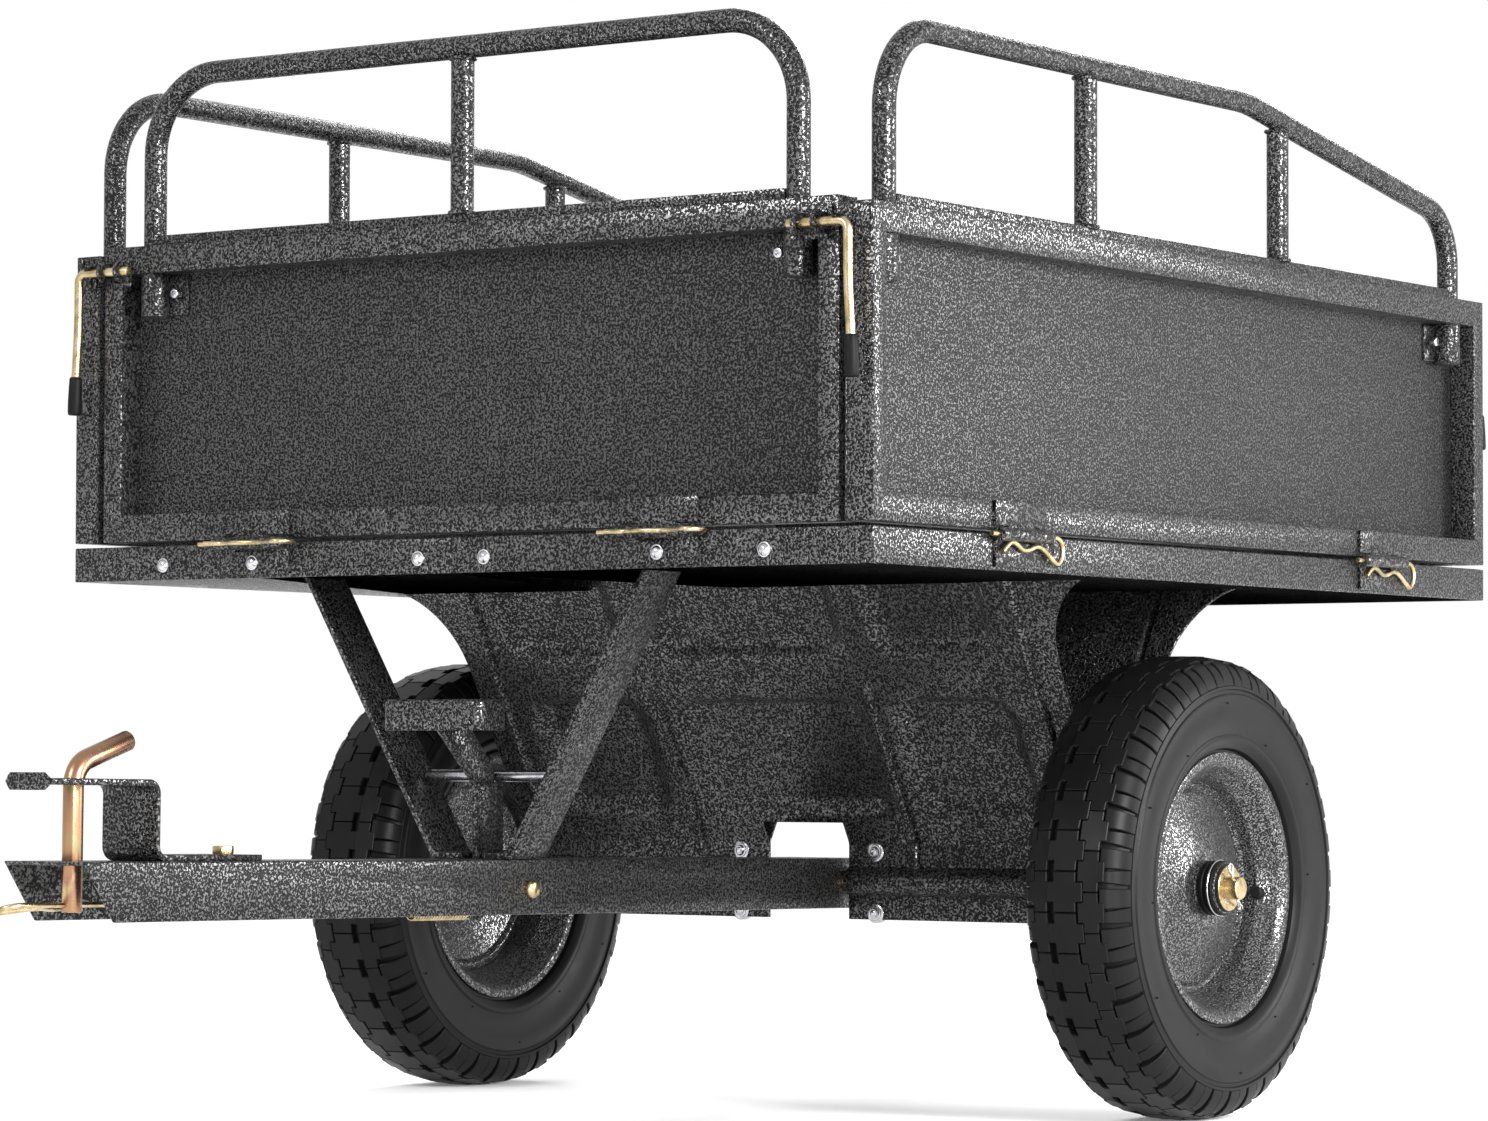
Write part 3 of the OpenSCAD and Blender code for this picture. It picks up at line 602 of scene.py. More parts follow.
HINGE_X, HINGE_Y, HINGE_Z = 546, 429, 500
left_clips = join([hairpin(at(x + 52, HINGE_Y, HINGE_Z), Vector((-1, 0, 0)), Vector((0, 0, -1)))
    for x in (-320, 320)])
right_clips = copy_of(left_clips, MIRROR_Y)
front_clips = join([hairpin(at(HINGE_X, y - 58, HINGE_Z), Vector((0, 1, 0)), Vector((1, 0, 0)))
    for y in (-215, 215)])
rear_clips = copy_of(front_clips, MIRROR_X)
for side, clips in (("left", left_clips), ("right", right_clips),
        ("front", front_clips), ("rear", rear_clips)):
    finish(clips, side + "_hairpins", side + "_clips", gold_zinc, "yellow_zinc",
        side + "_clips", smooth=60)
LEAN, TIP, LENGTH = math.radians(14), 1072 - 2.25, 108
hitch_start, hitch_end = on_bar(TIP - LENGTH, 0, -12), on_bar(TIP, 0, -12)
hitch_clip = hairpin(hitch_start, (hitch_end - hitch_start).normalized(),
    Vector((0, -math.cos(LEAN), -math.sin(LEAN))), LENGTH / 112, 24 / 22)
finish(hitch_clip, "hitch_hairpin", "hitch_clip", gold_zinc, "yellow_zinc", "hitch_clip", smooth=60)
print("clips", len(left_clips.data.polygons), "faces a pair")

# %% [markdown]
# ## Hitch pin and corner latches
# The hitch pin is a round bar with a bent handle, and its cut ends are chamfered. A corner
# latch is an L-shaped rod with a rubber grip. Its hanging leg has a slight bow, and the
# grip is a sleeve that is turned on a lathe, so its outline is spun round the rod.

# %% Turned parts
LAY = {"Z": SAME, "X": Matrix.Rotation(math.pi / 2, 4, "Y"),
    "Y": Matrix.Rotation(-math.pi / 2, 4, "X")}
MIDDLE = (0, 0, 0)


def turned(profile, centre=MIDDLE, axis="Z", steps=48):
    """Spins a profile of (radius, height) pairs round an axis through centre."""
    clear()
    bpy.ops.mesh.primitive_plane_add(size=0.001, location=(0, 0, 0))
    piece = bpy.context.object
    edit()
    bpy.ops.mesh.merge(type="CENTER")
    first = profile[0]
    bpy.ops.transform.translate(value=(first[0], 0, first[1]))
    for before, after in zip(profile, profile[1:]):
        bpy.ops.mesh.extrude_region_move(TRANSFORM_OT_translate={
            "value": (after[0] - before[0], 0, after[1] - before[1])})
    bpy.ops.mesh.select_all(action="SELECT")
    bpy.ops.mesh.spin(steps=steps, angle=math.tau, center=(0, 0, 0), axis=(0, 0, 1))
    bpy.ops.mesh.select_all(action="SELECT")
    bpy.ops.mesh.remove_doubles(threshold=2e-6)
    bpy.ops.mesh.normals_make_consistent(inside=False)
    done()
    piece.data.transform(Matrix.Translation(centre) @ LAY[axis])
    return piece


def outline(*points):
    """Millimetre outline points as metres."""
    return [(r * MM, h * MM) for r, h in points]


print("outlines can be spun round", *LAY)

# %% Hitch pin
pin_path = rounded([on_bar(1005, 0, -18), on_bar(1005, 0, 94), on_bar(944, 0, 114)], [0.022], 5)
pin = bar(pin_path, 8 * MM, 8, 0.0012)
finish(pin, "hitch_pin_bar", "hitch_pin", copper_zinc, "yellow_zinc", "hitch_pin", smooth=40)
print("hitch pin", len(pin.data.polygons), "faces")

# %% Corner latches
LATCH_X, LATCH_Y, LATCH_Z = 554, 408, 742
elbow = rounded([at(LATCH_X, 350, LATCH_Z), at(LATCH_X, LATCH_Y, LATCH_Z),
    at(LATCH_X, LATCH_Y, LATCH_Z - 60)], [0.008], 6)
bow = flowing([at(LATCH_X, LATCH_Y + out, LATCH_Z - down)
    for out, down in ((0, 14), (0.2, 45), (1.6, 72), (3.4, 100))], 5)
rod = bar(elbow[:-1] + bow, 4 * MM, 5, 0.0008)
grip = turned(outline((0, -1), (4.6, -1), (5.7, -0.2), (6.1, 2), (6.2, 12), (5.9, 24), (5.6, 31),
    (5.0, 32.6), (4.1, 33)))
grip.data.transform(Matrix.Translation(at(LATCH_X, LATCH_Y + 4.2, LATCH_Z - 124))
    @ Matrix.Rotation(math.radians(2.2), 4, "X"))
for corner, place in CORNERS.items():
    finish(copy_of(rod, place), "latch_rod_" + corner, "latch_" + corner, gold_zinc,
        "yellow_zinc", "latch_" + corner, smooth=50)
    finish(copy_of(grip, place), "grip_sleeve_" + corner, "latch_" + corner, grip_rubber,
        "rubber", "grip_" + corner, smooth=50)
for spare in (rod, grip):
    bpy.data.objects.remove(spare)
print("four latches")

# %% [markdown]
# ## Screws, bolts and nuts
# The floor is held by domed bolts with flanges, and the supports and the hitch plate by
# hexagon nuts. Threads would be hidden, so none are cut. A head is turned once, a nut is a
# six-sided cylinder with its corners chamfered, and each place gets a copy.

# %% Bolts
def dome(reach=12):
    """A domed head with a thin flange, standing along +X from zero, and its shank."""
    return turned(outline((0, 4.4), (1.6, 4.3), (3.3, 3.7), (4.6, 2.5), (5.2, 1.3), (6.3, 1.1),
        (6.6, 0.5), (6.4, 0), (3.1, 0), (3.1, -reach), (0, -reach)), MIDDLE, "X", 24)


def nut(radius, tall):
    """A chamfered hexagon nut along +X from zero."""
    clear()
    bpy.ops.mesh.primitive_cylinder_add(vertices=6, radius=radius * MM, depth=tall * MM,
        location=(0, 0, tall * MM / 2))
    piece = bpy.context.object
    edit("FACE")
    bpy.ops.mesh.bevel(offset=radius * 0.09 * MM, segments=2, affect="EDGES")
    done()
    piece.data.transform(Matrix.Rotation(math.pi / 2, 4, "Y"))
    return piece


def ring(outer, inner, low, high, soft, centre, axis, steps):
    """A washer or sleeve from low to high on its axis, with softened outer edges."""
    return turned(outline((inner, low), (outer - soft, low), (outer, low + soft),
        (outer, high - soft), (outer - soft, high), (inner, high), (inner, low)),
        centre, axis, steps)


head, heads, BOLT_Z = dome(), [], 483
for x, y in ((540, 35), (543, 215), (540, 319)):
    for turn in CORNERS.values():
        heads.append(copy_of(head, turn @ Matrix.Translation(at(x, y, BOLT_Z))))
        hexagon = nut(6, 6)
        hexagon.data.transform(turn @ Matrix.Translation(at(532, y, BOLT_Z)))
        if turn.determinant() < 0:
            hexagon.data.flip_normals()
        heads.append(hexagon)
finish(join(heads), "floor_bolt_heads", "bed", bright_zinc, "silver_zinc", "floor_bolts",
    smooth=50)
bpy.data.objects.remove(head)

# %% Support bolts
clamps = []
for y in (75, -75):
    for z in (174, 230):
        for facing in (1, -1):
            turn = Matrix.Translation(at(0, y, z)) @ Matrix.Scale(facing, 4, (1, 0, 0))
            for part, away in ((ring(9, 4.1, 0, 1.4, 0.3, MIDDLE, "X", 32), 2.5),
                    (nut(7.4, 5.5) if facing < 0 else dome(3), 3.9)):
                part.data.transform(turn @ Matrix.Translation((away * MM, 0, 0)))
                if facing < 0:
                    part.data.flip_normals()
                clamps.append(part)
        clamps.append(turned(outline((0, -11), (3.4, -11), (4, -10.4), (4, 7.6), (0, 7.6)),
            at(0, y, z), "X", 20))
finish(join(clamps), "support_bolt_sets", "bed", bright_zinc, "silver_zinc", "support_bolts",
    smooth=50)
print(len(heads) // 2, "floor bolts and 4 support bolts")

# %% [markdown]
# ## Tyres with a turf tread
# A tyre starts as one spun section: beads, sidewalls with thin rings, and a crown that lies
# about six millimetres under the tread. The tread is close-set plus-shaped blocks in three
# rows that interlock, with shoulder lugs running down to a ring on the sidewall. Between the
# lugs lie wedge-shaped grooves. A bump pattern would look flat at the edge of the tyre, so
# the blocks are real: one pitch is modelled at the top and copied round it 36 times.

# %% Tyre carcass
def both_walls(points):
    """A closed section from the outer half of one: the half, then its mirror image."""
    return points + [(r, -z) for r, z in reversed(points)]


skin = [(106.5, 31), (109.1, 36), (112.8, 39.2), (121, 39.2), (122.5, 44), (125, 46.1),
    (128, 47.6), (130.6, 49.0), (133, 49.0), (134.6, 48.2), (141, 50.0), (148, 51.0), (156, 51.5),
    (166, 51.2), (167.4, 51.9), (169.2, 51.8), (170.4, 50.7), (173.4, 50.2), (174.2, 51.6),
    (176.6, 51.2), (178, 47.8), (184, 43.6), (189, 38.5), (193, 32), (195.6, 24), (197.2, 12)]
hollow = [(188, 8), (186, 22), (179, 35), (168, 42), (154, 44.5), (138, 42.5), (124, 34), (114, 31)]
section = outline(*both_walls(skin), *[(r, -z) for r, z in reversed(hollow)], *hollow)
carcass = turned(section + section[:1], MIDDLE, "Y", 144)
print("carcass", len(carcass.data.polygons), "faces")

# %% Tread blocks
def sculpt(turn_in):
    """Ends a block: gives it thickness towards the axle and rounds its edges."""
    block = bpy.context.object
    modifier(block, "SOLIDIFY", thickness=turn_in, offset=-1)
    round_edges(block, 0.0007, 1, 50)
    return block


def plus(length, width, arm, body, across, tilt, along, height):
    """A plus-shaped block: length round the tyre, width across it, angles in degrees."""
    clear()
    bpy.ops.mesh.primitive_grid_add(x_subdivisions=3, y_subdivisions=3, size=1, location=(0, 0, 0))
    edit("FACE")
    pick("FACE", lambda f: abs(f.center.x) > 0.2 and abs(f.center.y) > 0.2)
    bpy.ops.mesh.delete(type="FACE")
    pick("VERT", lambda c: abs(c.x) < 0.2)
    bpy.ops.transform.resize(value=(3 * arm / length, 1, 1))
    pick("VERT", lambda c: abs(c.y) < 0.2)
    bpy.ops.transform.resize(value=(1, 3 * body / width, 1))
    done()
    block = bpy.context.object
    block.data.transform(Matrix.Diagonal((length * MM, width * MM, 1, 1)))
    sculpt(0.0075)
    block.data.transform(Matrix.Rotation(math.radians(along), 4, "Y")
        @ Matrix.Translation((0, across * MM, height * MM))
        @ Matrix.Rotation(math.radians(tilt), 4, "X"))
    return block


# %% Shoulder lugs
def lug(start, end, along, lower=0.0):
    """A lug whose width changes from start to end on its way down to the wall."""
    slope = [(32.6, 199.8), (37, 198.0), (41, 195.2), (45, 190.6), (48.6, 184.4), (50.6, 176.6)]
    clear()
    bpy.ops.mesh.primitive_plane_add(size=1, location=(0, 0, 0))
    edit("EDGE")
    pick("VERT", lambda c: c.y > 0.4)
    bpy.ops.mesh.delete(type="VERT")
    bpy.ops.mesh.select_all(action="SELECT")
    bpy.ops.transform.resize(value=(start * MM, 1, 1))
    bpy.ops.transform.translate(value=(0, 0.5 + slope[0][0] * MM, (slope[0][1] - lower) * MM))
    for step, (before, after) in enumerate(zip(slope, slope[1:])):
        now = start + (end - start) * step / (len(slope) - 1)
        then = start + (end - start) * (step + 1) / (len(slope) - 1)
        bpy.ops.mesh.extrude_region_move(TRANSFORM_OT_translate={
            "value": (0, (after[0] - before[0]) * MM, (after[1] - before[1]) * MM)})
        bpy.ops.transform.resize(value=(then / now, 1, 1))
    bpy.ops.mesh.select_all(action="SELECT")
    bpy.ops.mesh.normals_make_consistent(inside=False)
    done()
    block = bpy.context.object
    if sum(f.normal.z for f in block.data.polygons) < 0:
        block.data.flip_normals()
    sculpt(0.0065)
    block.data.transform(Matrix.Rotation(math.radians(along), 4, "Y"))
    return block


def round_tyre(degrees):
    return Matrix.Rotation(math.radians(degrees), 4, "Y")


PITCH = 10
half = [plus(34.4, 24, arm=17.4, body=13.4, across=24.6, tilt=-9, along=PITCH / 2, height=201.2),
    lug(17.5, 15.5, along=1.6), lug(9.5, 13.0, along=-3.8, lower=1.4)]
pitch = half + [copy_of(piece, MIRROR_Y @ round_tyre(PITCH / 2)) for piece in half]
pitch.append(plus(34.4, 35, arm=16.8, body=21.6, across=0, tilt=0, along=0, height=203))
pitch = join(pitch)
print("one pitch of tread", len(pitch.data.polygons), "faces")

# %% Tyres
# Small moulding nubs stand in two rings on each wall, twelve a wall.
rubber = [carcass] + [copy_of(pitch, round_tyre(PITCH * i)) for i in range(360 // PITCH)]
bpy.data.objects.remove(pitch)
for i in range(24):
    clear()
    bpy.ops.mesh.primitive_cone_add(vertices=8, radius1=0.0011, radius2=0.0006, depth=0.0026)
    nub = bpy.context.object
    reach, wall = ((162, 51.4), (139, 49.6))[i % 2]
    outward = 1 if i < 12 else -1
    nub.data.transform(round_tyre(i * 30 + 4) @ Matrix.Translation((0, outward * wall * MM,
        reach * MM)) @ Matrix.Rotation(math.radians(-90 * outward), 4, "X"))
    rubber.append(nub)
tyre = join(rubber)
for side, flip in SIDES.items():
    place = flip @ Matrix.Translation(at(0, TRACK, HUB))
    finish(copy_of(tyre, place), "tyre_tread_" + side, "wheel_" + side, tyre_rubber, "rubber",
        "tyre_" + side, smooth=32)
bpy.data.objects.remove(tyre)

# %% [markdown]
# ## Pressed rims, hubs and axle ends
# The rim is a barrel with rolled lips and a dished disc welded inside. Both are spun as a
# thin line and thickened, so the wall stays as even as pressed steel. The hub shows rubber
# seals, a bright band, a yellow washer and the axle's end with a split pin.

# %% Pressed sections
def soft_line(points, bend):
    """Millimetre section points whose inner corners are rounded."""
    path = rounded([(r, 0, h) for r, h in points], [bend] * (len(points) - 2), 22)
    return [(p.x * MM, p.z * MM) for p in path]


def pressed(points, bend=3.0):
    """A spun section of even sheet steel."""
    piece = turned(soft_line(points, bend), MIDDLE, "Y", 144)
    modifier(piece, "SOLIDIFY", thickness=2.5 * MM, offset=0)
    round_edges(piece, 0.0006, 2, 60)
    return piece


# %% Rims
barrel = pressed(both_walls([(118.8, 41.0), (112.4, 41), (107, 36), (104, 30), (97, 20), (95, 8)]))
disc = pressed([(94.6, 9), (92.5, 4.2), (87, 3.6), (83.4, 7.4), (79, 8.4), (58, 13.8), (34, 21.6),
    (22, 23)], 2.2)
bead = [a / 8 * math.tau for a in range(9)]
weld = turned([(0.0215 + 0.002 * math.cos(a), 0.0246 + 0.002 * math.sin(a)) for a in bead],
    MIDDLE, "Y", 96)
hub = turned(outline((18, 43), (18.6, 44), (21.9, 44), (22.5, 43.4), (22.5, -43.4), (21.9, -44),
    (18.6, -44), (18, -43), (18, 43)), MIDDLE, "Y", 96)
rim = join([barrel, disc, weld, hub])
print("rim", len(rim.data.polygons), "faces")

# %% Hub seals, bands and valve stem
seal = turned(outline((17.8, 27), (22.6, 27), (23.9, 27.8), (23.9, 31.4), (22.9, 32.2),
    (22.9, 33.4), (24.1, 34.2), (24.1, 40.6), (23.2, 41.8), (21.2, 42.2), (21.2, 44.6),
    (19, 45.6), (11, 45.6), (11, 41), (17.8, 41), (17.8, 27)), MIDDLE, "Y", 96)
seals = join([seal, copy_of(seal, MIRROR_Y)])
band = turned(outline((22, 36.8), (24.5, 36.8), (24.9, 37.2), (24.9, 38.2), (24.5, 38.6),
    (22, 38.6), (22, 36.8)), MIDDLE, "Y", 96)
bands = join([band, copy_of(band, MIRROR_Y)])
stem = turned(outline((0, -2), (4.5, -2), (4.5, 20), (5.4, 21.4), (5.6, 28), (5.2, 30),
    (3.9, 30.6), (3.9, 33), (4.5, 33.4), (4.6, 40), (4.1, 41), (0, 41)))
stem.data.transform(Matrix.Rotation(-math.pi / 2, 4, "X")
    @ Matrix.Rotation(math.radians(176), 4, "Z") @ Matrix.Translation((0.122, 0, 0.014))
    @ Matrix.Rotation(math.radians(-72), 4, "Y"))

# %% Two wheels
for side, flip in SIDES.items():
    place = flip @ Matrix.Translation(at(0, TRACK, HUB))
    wheel = "wheel_" + side
    # The rims take the lighter copy of the paint, which paints in the light they catch.
    finish(copy_of(rim, place), "pressed_rim_" + side, wheel, lit_rim_paint, "black",
        "rim_" + side, smooth=40)
    finish(copy_of(seals, place), "hub_seals_" + side, wheel, grip_rubber, "silver_zinc",
        "bearings_" + side)
    finish(copy_of(bands, place), "hub_bands_" + side, wheel, bright_zinc, "silver_zinc")
    finish(copy_of(stem, place), "valve_stem_" + side, wheel, grip_rubber, "rubber",
        "inner_tube_" + side)
for spare in (rim, seals, bands, stem):
    bpy.data.objects.remove(spare)
print("two rims with hubs and valves")

# %% Axle ends
axle = at(0, 0, HUB)
rod = turned(outline((0, -455), (9, -455), (10, -454), (10, 454), (9, 455), (0, 455)), axle, "Y")
finish(rod, "axle_rod", "drawbar", gold_zinc, "yellow_zinc", "axle")
rings = []
for outer, low, high in ((20, 441.0, 443.4), (20, 348.6, 351.0), (14, 326, 348.5)):
    piece = ring(outer, 10.1, low, high, 0.5, axle, "Y", 64)
    rings += [piece, copy_of(piece, MIRROR_Y)]
finish(join(rings), "axle_washer_rings", "drawbar", gold_zinc, "yellow_zinc", "axle_washers")

# %% Split pins
pins = []
for sign in (1, -1):
    y = sign * 448.5
    loop = flowing([at(x, y, HUB + z) for x, z in ((0, 13), (-2.6, 16.5), (-3.4, 20), (0, 23.5),
        (3.4, 20), (2.6, 16.5), (0.8, 13))], 5)
    leg = [at(0.8, y, HUB - 12)] + flowing([at(0.9, y, HUB - 12.5),
        at(2.4, y + sign * 2, HUB - 15.5), at(6.5, y + sign * 3, HUB - 18)], 4)
    other = [at(-0.6, y, HUB - 12)] + flowing([at(-0.7, y, HUB - 12.5),
        at(-2.4, y - sign * 0.5, HUB - 16), at(-5.6, y - sign, HUB - 19.5)], 4)
    middle = at(0, y, HUB)
    pins.append(bar([*reversed(other), *loop, *leg], 0.0011, 3))
    pins[-1].data.transform(Matrix.Translation(middle)
        @ Matrix.Rotation(math.radians(24), 4, "Y") @ Matrix.Translation(-middle))
finish(join(pins), "split_pins", "drawbar", bright_zinc, "silver_zinc", "axle_cotters", smooth=60)
print("axle ends done")

# %% [markdown]
# ## Stamped support plates
# Two stamped plates clamp the axle and carry the floor. The plate is a grid: each column has
# a place across the cart and each row a place along the bent section, close together where
# a rib or bend is sharp. Pads are pressed in and ribs are pressed out along the section's
# normal. The side cut-outs narrow the rows beside the tyres. Cutting the pads with boolean
# tools would leave sharp rims, and a moved grid keeps them as soft as stamped steel.

# %% Relief of the pressing
def ease(value):
    value = min(1.0, max(0.0, value))
    return value * value * (3 - 2 * value)


def stops(*spans):
    """Places from spans of (start, end, step)."""
    places = []
    for low, high, step in spans:
        count = max(1, round((high - low) / step))
        places += [low + (high - low) * i / count for i in range(count)]
    return places + [spans[-1][1]]


CORNER, FLANK = 26, 13
PAD_COLUMNS, PAD_ROWS = ((0, 108), (202, 66)), ((405, 492), (262, 374))


def pad(y, z, middle, reach, low, high):
    """How deep a pad with round corners is pressed in at a place, from 0 to 1."""
    across = abs(y - middle) - reach + CORNER
    along = abs(z - (low + high) / 2) - (high - low) / 2 + CORNER
    inside = CORNER - math.hypot(max(across, 0), max(along, 0)) - min(max(across, along), 0)
    return ease(inside / FLANK)


def relief(y, z):
    """Height of the pressing over the flat plate, in millimetres."""
    y = abs(y)
    lift = -8.5 * max(pad(y, z, *column, *row) for column in PAD_COLUMNS for row in PAD_ROWS)
    outer = ease(1.6 - abs(y - 296) / 3.2) * ease((z - 250) / 12)
    inner = ease(1.6 - abs(y - 118) / 3.2) * ease((384 - z) / 8) * ease((z - 214) / 6)
    return lift + 5.0 * max(outer, inner)


print("pads at", PAD_COLUMNS, "across and", PAD_ROWS, "up")

# %% Columns and rows of the plate
NARROW, RIB, FULL, ARCH, ARCH_Z = 325, 306, 410, 76, 400


def free_half(z):
    """Half of the plate's width at a height: narrow beside the tyre, full under the floor."""
    if z < ARCH_Z:
        return NARROW
    if z > ARCH_Z + ARCH:
        return FULL
    return min(FULL, 401 - math.sqrt(max(0, ARCH ** 2 - (z - ARCH_Z) ** 2)) + 1)


columns = stops((0, 45, 7.5), (45, 108, 9), (108, 128, 1.6), (128, 286, 8), (286, RIB, 1.6),
    (RIB, FULL, 8))
columns = [-y for y in reversed(columns[1:])] + columns
bend = rounded([(1.25, 0, 168), (1.25, 0, 238), (149.3, 0, 496.75), (181, 0, 496.75)], [14, 9], 6)
section = []
for before, after in zip(bend, bend[1:]):
    step = 2 if before.z < 200 else 4.5
    count = max(1, round((after - before).length / step))
    section += [before.lerp(after, i / count) for i in range(count)]
section.append(bend[-1])
print(len(columns), "columns and", len(section), "rows")

# %% Support plates
clear()
bpy.ops.mesh.primitive_grid_add(x_subdivisions=len(columns) - 1,
    y_subdivisions=len(section) - 1, size=1)
plate = bpy.context.object
for corner in plate.data.vertices:
    column = round((corner.co.x + 0.5) * (len(columns) - 1))
    row = round((corner.co.y + 0.5) * (len(section) - 1))
    y, spot = columns[column], section[row]
    ahead = (section[min(row + 1, len(section) - 1)] - section[max(row - 1, 0)]).normalized()
    out = Vector((ahead.z, 0, -ahead.x))
    if abs(y) > RIB:
        share = (abs(y) - RIB) * (free_half(spot.z) - RIB) / (FULL - RIB)
        y = math.copysign(RIB + share, y)
    lift = relief(y, spot.z)
    if spot.z < 232:  # the half round groove that clamps the axle
        lift = max(lift, math.sqrt(max(0, 11.6 ** 2 - (spot.z - HUB) ** 2)) - 1.25)
    spot = spot + out * lift
    corner.co = at(spot.x, y, spot.z)
edit("FACE")
pick("FACE", lambda f: abs(f.center.y) < 0.045 and f.center.z < 0.258)  # the middle notch
bpy.ops.mesh.delete(type="FACE")
bpy.ops.mesh.select_all(action="SELECT")
bpy.ops.mesh.normals_make_consistent(inside=False)
done()
lowest = min(plate.data.polygons, key=lambda f: f.center.z)
if lowest.normal.x < 0:
    plate.data.flip_normals()
modifier(plate, "SOLIDIFY", thickness=0.0025, offset=0)
round_edges(plate, 0.0005, 1, 75)
for end, piece in (("rear", copy_of(plate, MIRROR_X)), ("front", plate)):
    finish(piece, "support_pressing_" + end, "bed", paint, "black", "support_" + end, smooth=50)
print("supports:", len(plate.data.polygons), "faces each")

# %% [markdown]
# ## Hitch plate, foot latch and spring
# The hitch plate is thick flat bar that is folded twice, with rounded front corners and a
# weld behind the fold. Its side view is a line, so that line is drawn, swept across and
# thickened. The foot pad is a shallow tray that is upside down on its lever, and the spring
# that pulls the lever back is a coil under the channel.

# %% Flat bar folded along a path
def strap(path, across, thickness):
    """Flat bar: a path of corners is swept across, then thickened on both sides."""
    clear()
    bpy.ops.mesh.primitive_plane_add(size=0.001, location=(0, 0, 0))
    edit()
    bpy.ops.mesh.merge(type="CENTER")
    bpy.ops.transform.translate(value=path[0])
    for before, after in zip(path, path[1:]):
        bpy.ops.mesh.extrude_region_move(TRANSFORM_OT_translate={"value": after - before})
    bpy.ops.mesh.select_all(action="SELECT")
    bpy.ops.mesh.extrude_region_move(TRANSFORM_OT_translate={"value": across})
    bpy.ops.mesh.select_all(action="SELECT")
    bpy.ops.mesh.normals_make_consistent(inside=False)
    done()
    piece = bpy.context.object
    modifier(piece, "SOLIDIFY", thickness=thickness, offset=0)
    return piece


# %% Hitch plate and its bolt
fold = rounded([on_bar(along, -28, above) for along, above in ((815, 23.5), (938.5, 23.5),
    (938.5, 81.5), (1056, 81.5))], [0.009, 0.009], 15)
tongue = strap(fold, Vector((0, 0.056, 0)), 0.005)
nose = on_bar(1056, 0, 81.5).x - 0.001
edit("EDGE")
pick("EDGE", lambda a, b: min(a.x, b.x) > nose and min(abs(a.y), abs(b.y)) > 0.027)
bpy.ops.mesh.bevel(offset=0.010, segments=6, affect="EDGES")
done()
round_edges(tongue, 0.0009, 2, 50)
bead = bar([on_bar(943.5, y, 27.2 + 0.5 * (i % 2)) for i, y in enumerate(range(-15, 16, 3))],
    2.8 * MM, 4)
finish(join([tongue, bead]), "hitch_tongue", "drawbar", paint, "black", "hitch_plate", smooth=40)
upright = Matrix.Rotation(-math.pi / 2, 4, "Y")
bolt_parts = []
for radius, tall, low in ((9, 6.5, 26), (9, 8, 10)):
    part = nut(radius, tall)
    part.data.transform(Matrix.Translation(on_bar(830, 0, low)) @ upright)
    bolt_parts.append(part)
shank = turned(outline((0, 0), (4.2, 0), (5, 0.8), (5, 20), (0, 20)), on_bar(830, 0, 6), "Z", 24)
finish(join(bolt_parts + [shank]), "hitch_bolt", "drawbar", gold_zinc, "yellow_zinc",
    "hitch_plate_bolt")

# %% Lever pivot and spring
pivot = on_bar(481, 0, -3.6)
knob = turned(outline((0, 5), (5.4, 4.6), (7.4, 3.2), (8, 1.6), (8, 0), (5, 0), (5, -94), (0, -94)),
    pivot + Vector((0, 0.0415, 0)), "Y", 40)
lock = nut(8.5, 8)
QUARTER = Matrix.Rotation(math.pi / 2, 4, "Z")
lock.data.transform(Matrix.Translation(pivot - Vector((0, 0.0495, 0))) @ QUARTER)
finish(join([knob, lock]), "lever_pivot", "drawbar", gold_zinc, "yellow_zinc", "pedal_pivot")
STEPS, A_TURN, WINDING = 260, 13, 3.9
coil = [on_bar(512, 0, -25)]
for i in range(STEPS + 1):
    round_it = i * math.tau / A_TURN
    coil.append(on_bar(520 + 72 * i / STEPS, WINDING * math.sin(round_it),
        -25 + WINDING * math.cos(round_it)))
coil += rounded([on_bar(594, 0, -25), on_bar(603, 0, -25), on_bar(603, 0, 17)], [0.005], 12)
finish(bar(coil, 0.00115, 2), "lever_spring", "drawbar", gold_zinc, "yellow_zinc",
    "pedal_spring", smooth=60)
print("spring of", STEPS // A_TURN, "turns")

# %% Foot pad and striker
clear()
bpy.ops.mesh.primitive_cube_add(size=1, location=at(547.5, 0, 351),
    scale=(0.041, 0.104, 0.026))
bpy.ops.object.transform_apply(location=True, scale=True)
tray = bpy.context.object
brim = max(v.co.z for v in tray.data.vertices) - 1e-5
edit("FACE")
pick("FACE", lambda f: f.normal.z < -0.5)
bpy.ops.mesh.delete(type="FACE")
for rule, width, steps in ((lambda a, b: abs(a.z - b.z) > 0.02, 0.009, 6),
        (lambda a, b: min(a.z, b.z) > brim, 0.0035, 3)):
    edit("EDGE")
    pick("EDGE", rule)
    bpy.ops.mesh.bevel(offset=width, segments=steps, affect="EDGES")
done()
modifier(tray, "SOLIDIFY", thickness=0.0028, offset=-1)
round_edges(tray, 0.0006, 2, 60)
finish(tray, "foot_tray", "pedal", paint, "black", "pedal_pad", smooth=40)
striker = bar([at(476, -74, 300), at(476, 74, 300)], 0.005, 6, 0.0012)
finish(striker, "striker_bar", "bed", bright_zinc, "silver_zinc", "latch_striker")
print("foot pad", len(tray.data.polygons), "faces")

# %% [markdown]
# ## Panel screws
# Screws hold each rail's feet to its panel. The head has a rounded rim and a recess, which
# is turned round here, because a six-sided one couldn't be told from it at this size.

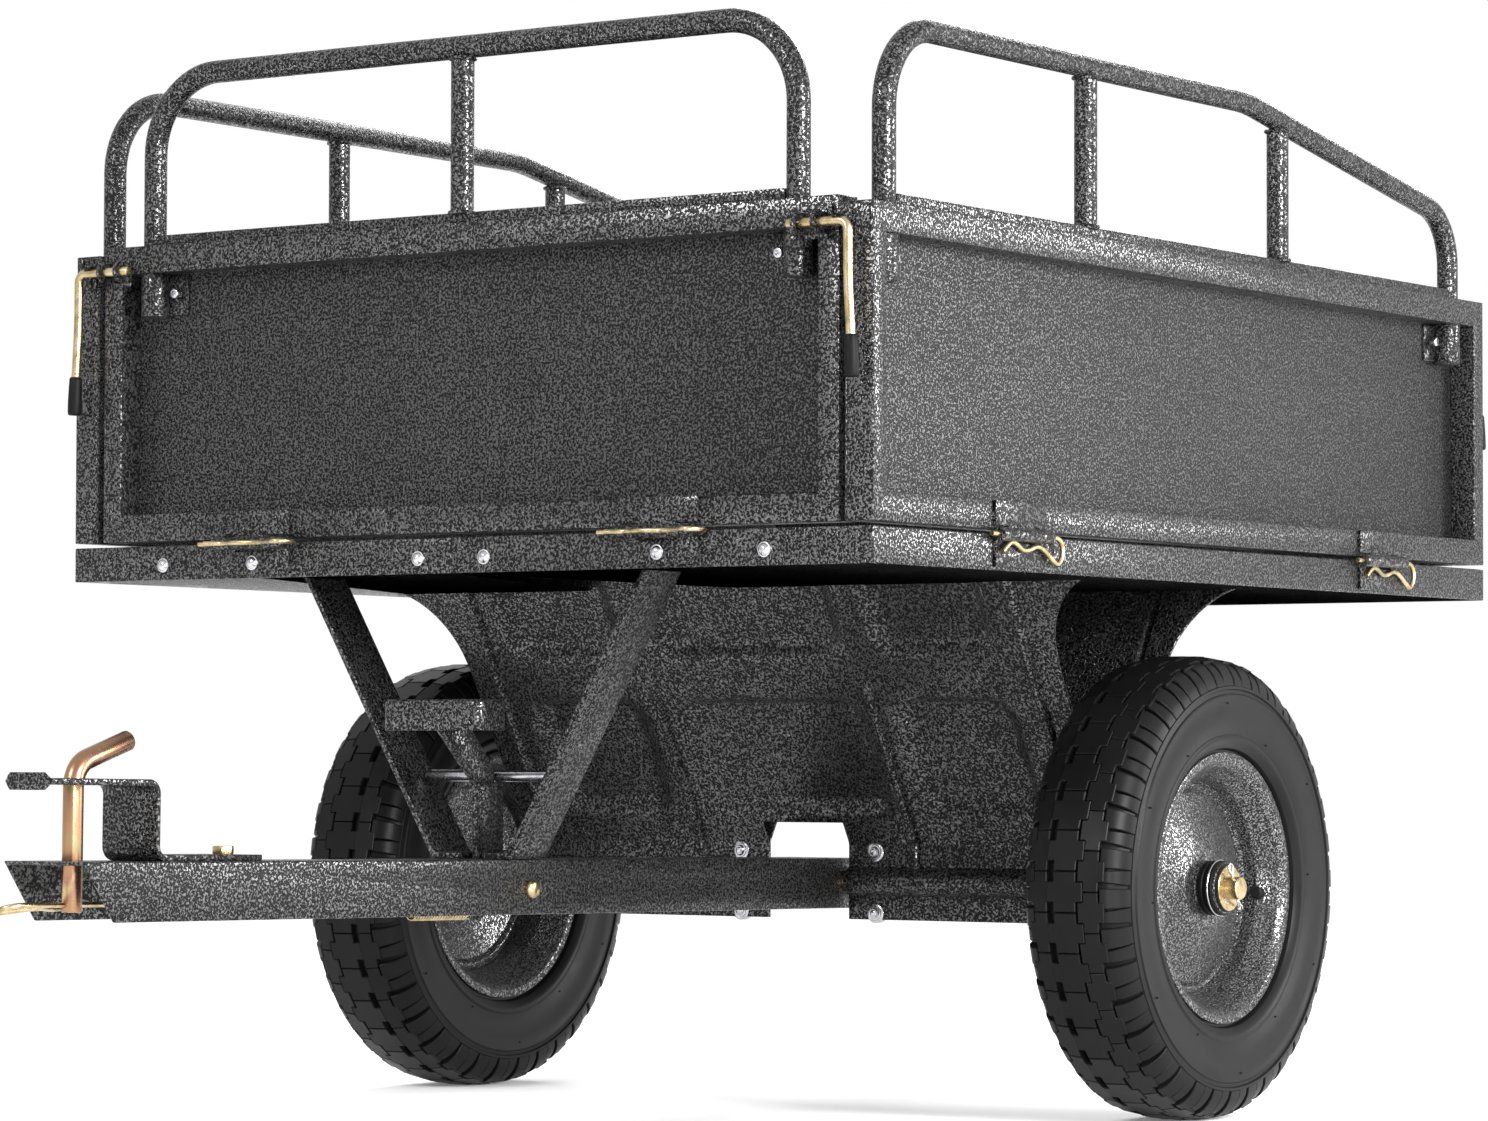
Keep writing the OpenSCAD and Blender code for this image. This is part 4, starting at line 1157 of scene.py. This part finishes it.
# %% Screws
screw = turned(outline((0, 0.9), (2.0, 0.9), (2.3, 3.2), (3.4, 3.2), (4.1, 2.9), (4.5, 2.2),
    (4.5, 0), (2.4, 0), (2.4, -3.4), (0, -3.4)), MIDDLE, "X", 24)
for side, spots, turn in (("front", [at(523.6, y, 723) for y in (-321.5, 321.5)], SAME),
        ("left", [at(x, 406.6, 717) for x in (-469, 484)], QUARTER),
        ("right", [at(x, -406.6, 717) for x in (-469, 484)], QUARTER.inverted())):
    made = [copy_of(screw, Matrix.Translation(spot) @ turn) for spot in spots]
    finish(join(made), side + "_screw_heads", side + "_panel", bright_zinc, "silver_zinc",
        side + "_screws", smooth=50)
bpy.data.objects.remove(screw)
print("six screws")

# %% [markdown]
# ## Floor and light
# A plain pale floor and a white world light the cart softly from all round. Five lamps add
# shape: a large one at the left side gives most of the light, and smaller ones ahead, low
# in front and behind give the dark paint its glints.

# %% Floor and world
clear()
bpy.ops.mesh.primitive_plane_add(size=60, location=(0, 0, 0))
ground = bpy.context.object
ground.name = "ground"
floor_finish = Finish("studio_floor")
floor_tone = floor_finish.noise(3.0, 2.0)
ground.data.materials.append(floor_finish.shade(
    Base_Color=floor_finish.mix(floor_tone, grey(0.88), grey(0.91)), Roughness=0.8,
    Emission_Color=(1, 1, 1, 1), Emission_Strength=0.12))

world = bpy.data.worlds.new("studio")
bpy.context.scene.world = world
world.use_nodes = True
sky = world.node_tree.nodes["Background"].inputs
sky["Color"].default_value, sky["Strength"].default_value = (1.0, 1.0, 1.0, 1), 1.0
print("floor and world done")

# %% Lamps
def lamp(name, place, target, size, power):
    """A rectangular lamp at place that faces target. Its power is in watts."""
    bpy.ops.object.light_add(type="AREA", location=place)
    made = bpy.context.object
    made.name = name
    made.data.shape, made.data.size, made.data.size_y = "RECTANGLE", size[0], size[1]
    made.data.energy = power
    made.rotation_euler = (Vector(target) - Vector(place)).to_track_quat("-Z", "Y").to_euler()


lamp("key", (3.4, -0.6, 2.2), (0, 0, 0.4), (0.9, 0.9), 60)
lamp("side", (0.9, 4.0, 1.5), (0, 0.3, 0.35), (0.9, 1.2), 270)
lamp("low", (3.0, 3.4, 0.4), (0, 0.2, 0.35), (0.5, 0.4), 70)
lamp("back", (-3.6, -1.2, 2.6), (0, 0, 0.6), (2.0, 1.2), 130)
lamp("rake", (-2.6, 3.4, 1.1), (0, 0.3, 0.5), (1.2, 1.4), 110)
bpy.context.scene.view_settings.view_transform = "Standard"
print("five lamps done")
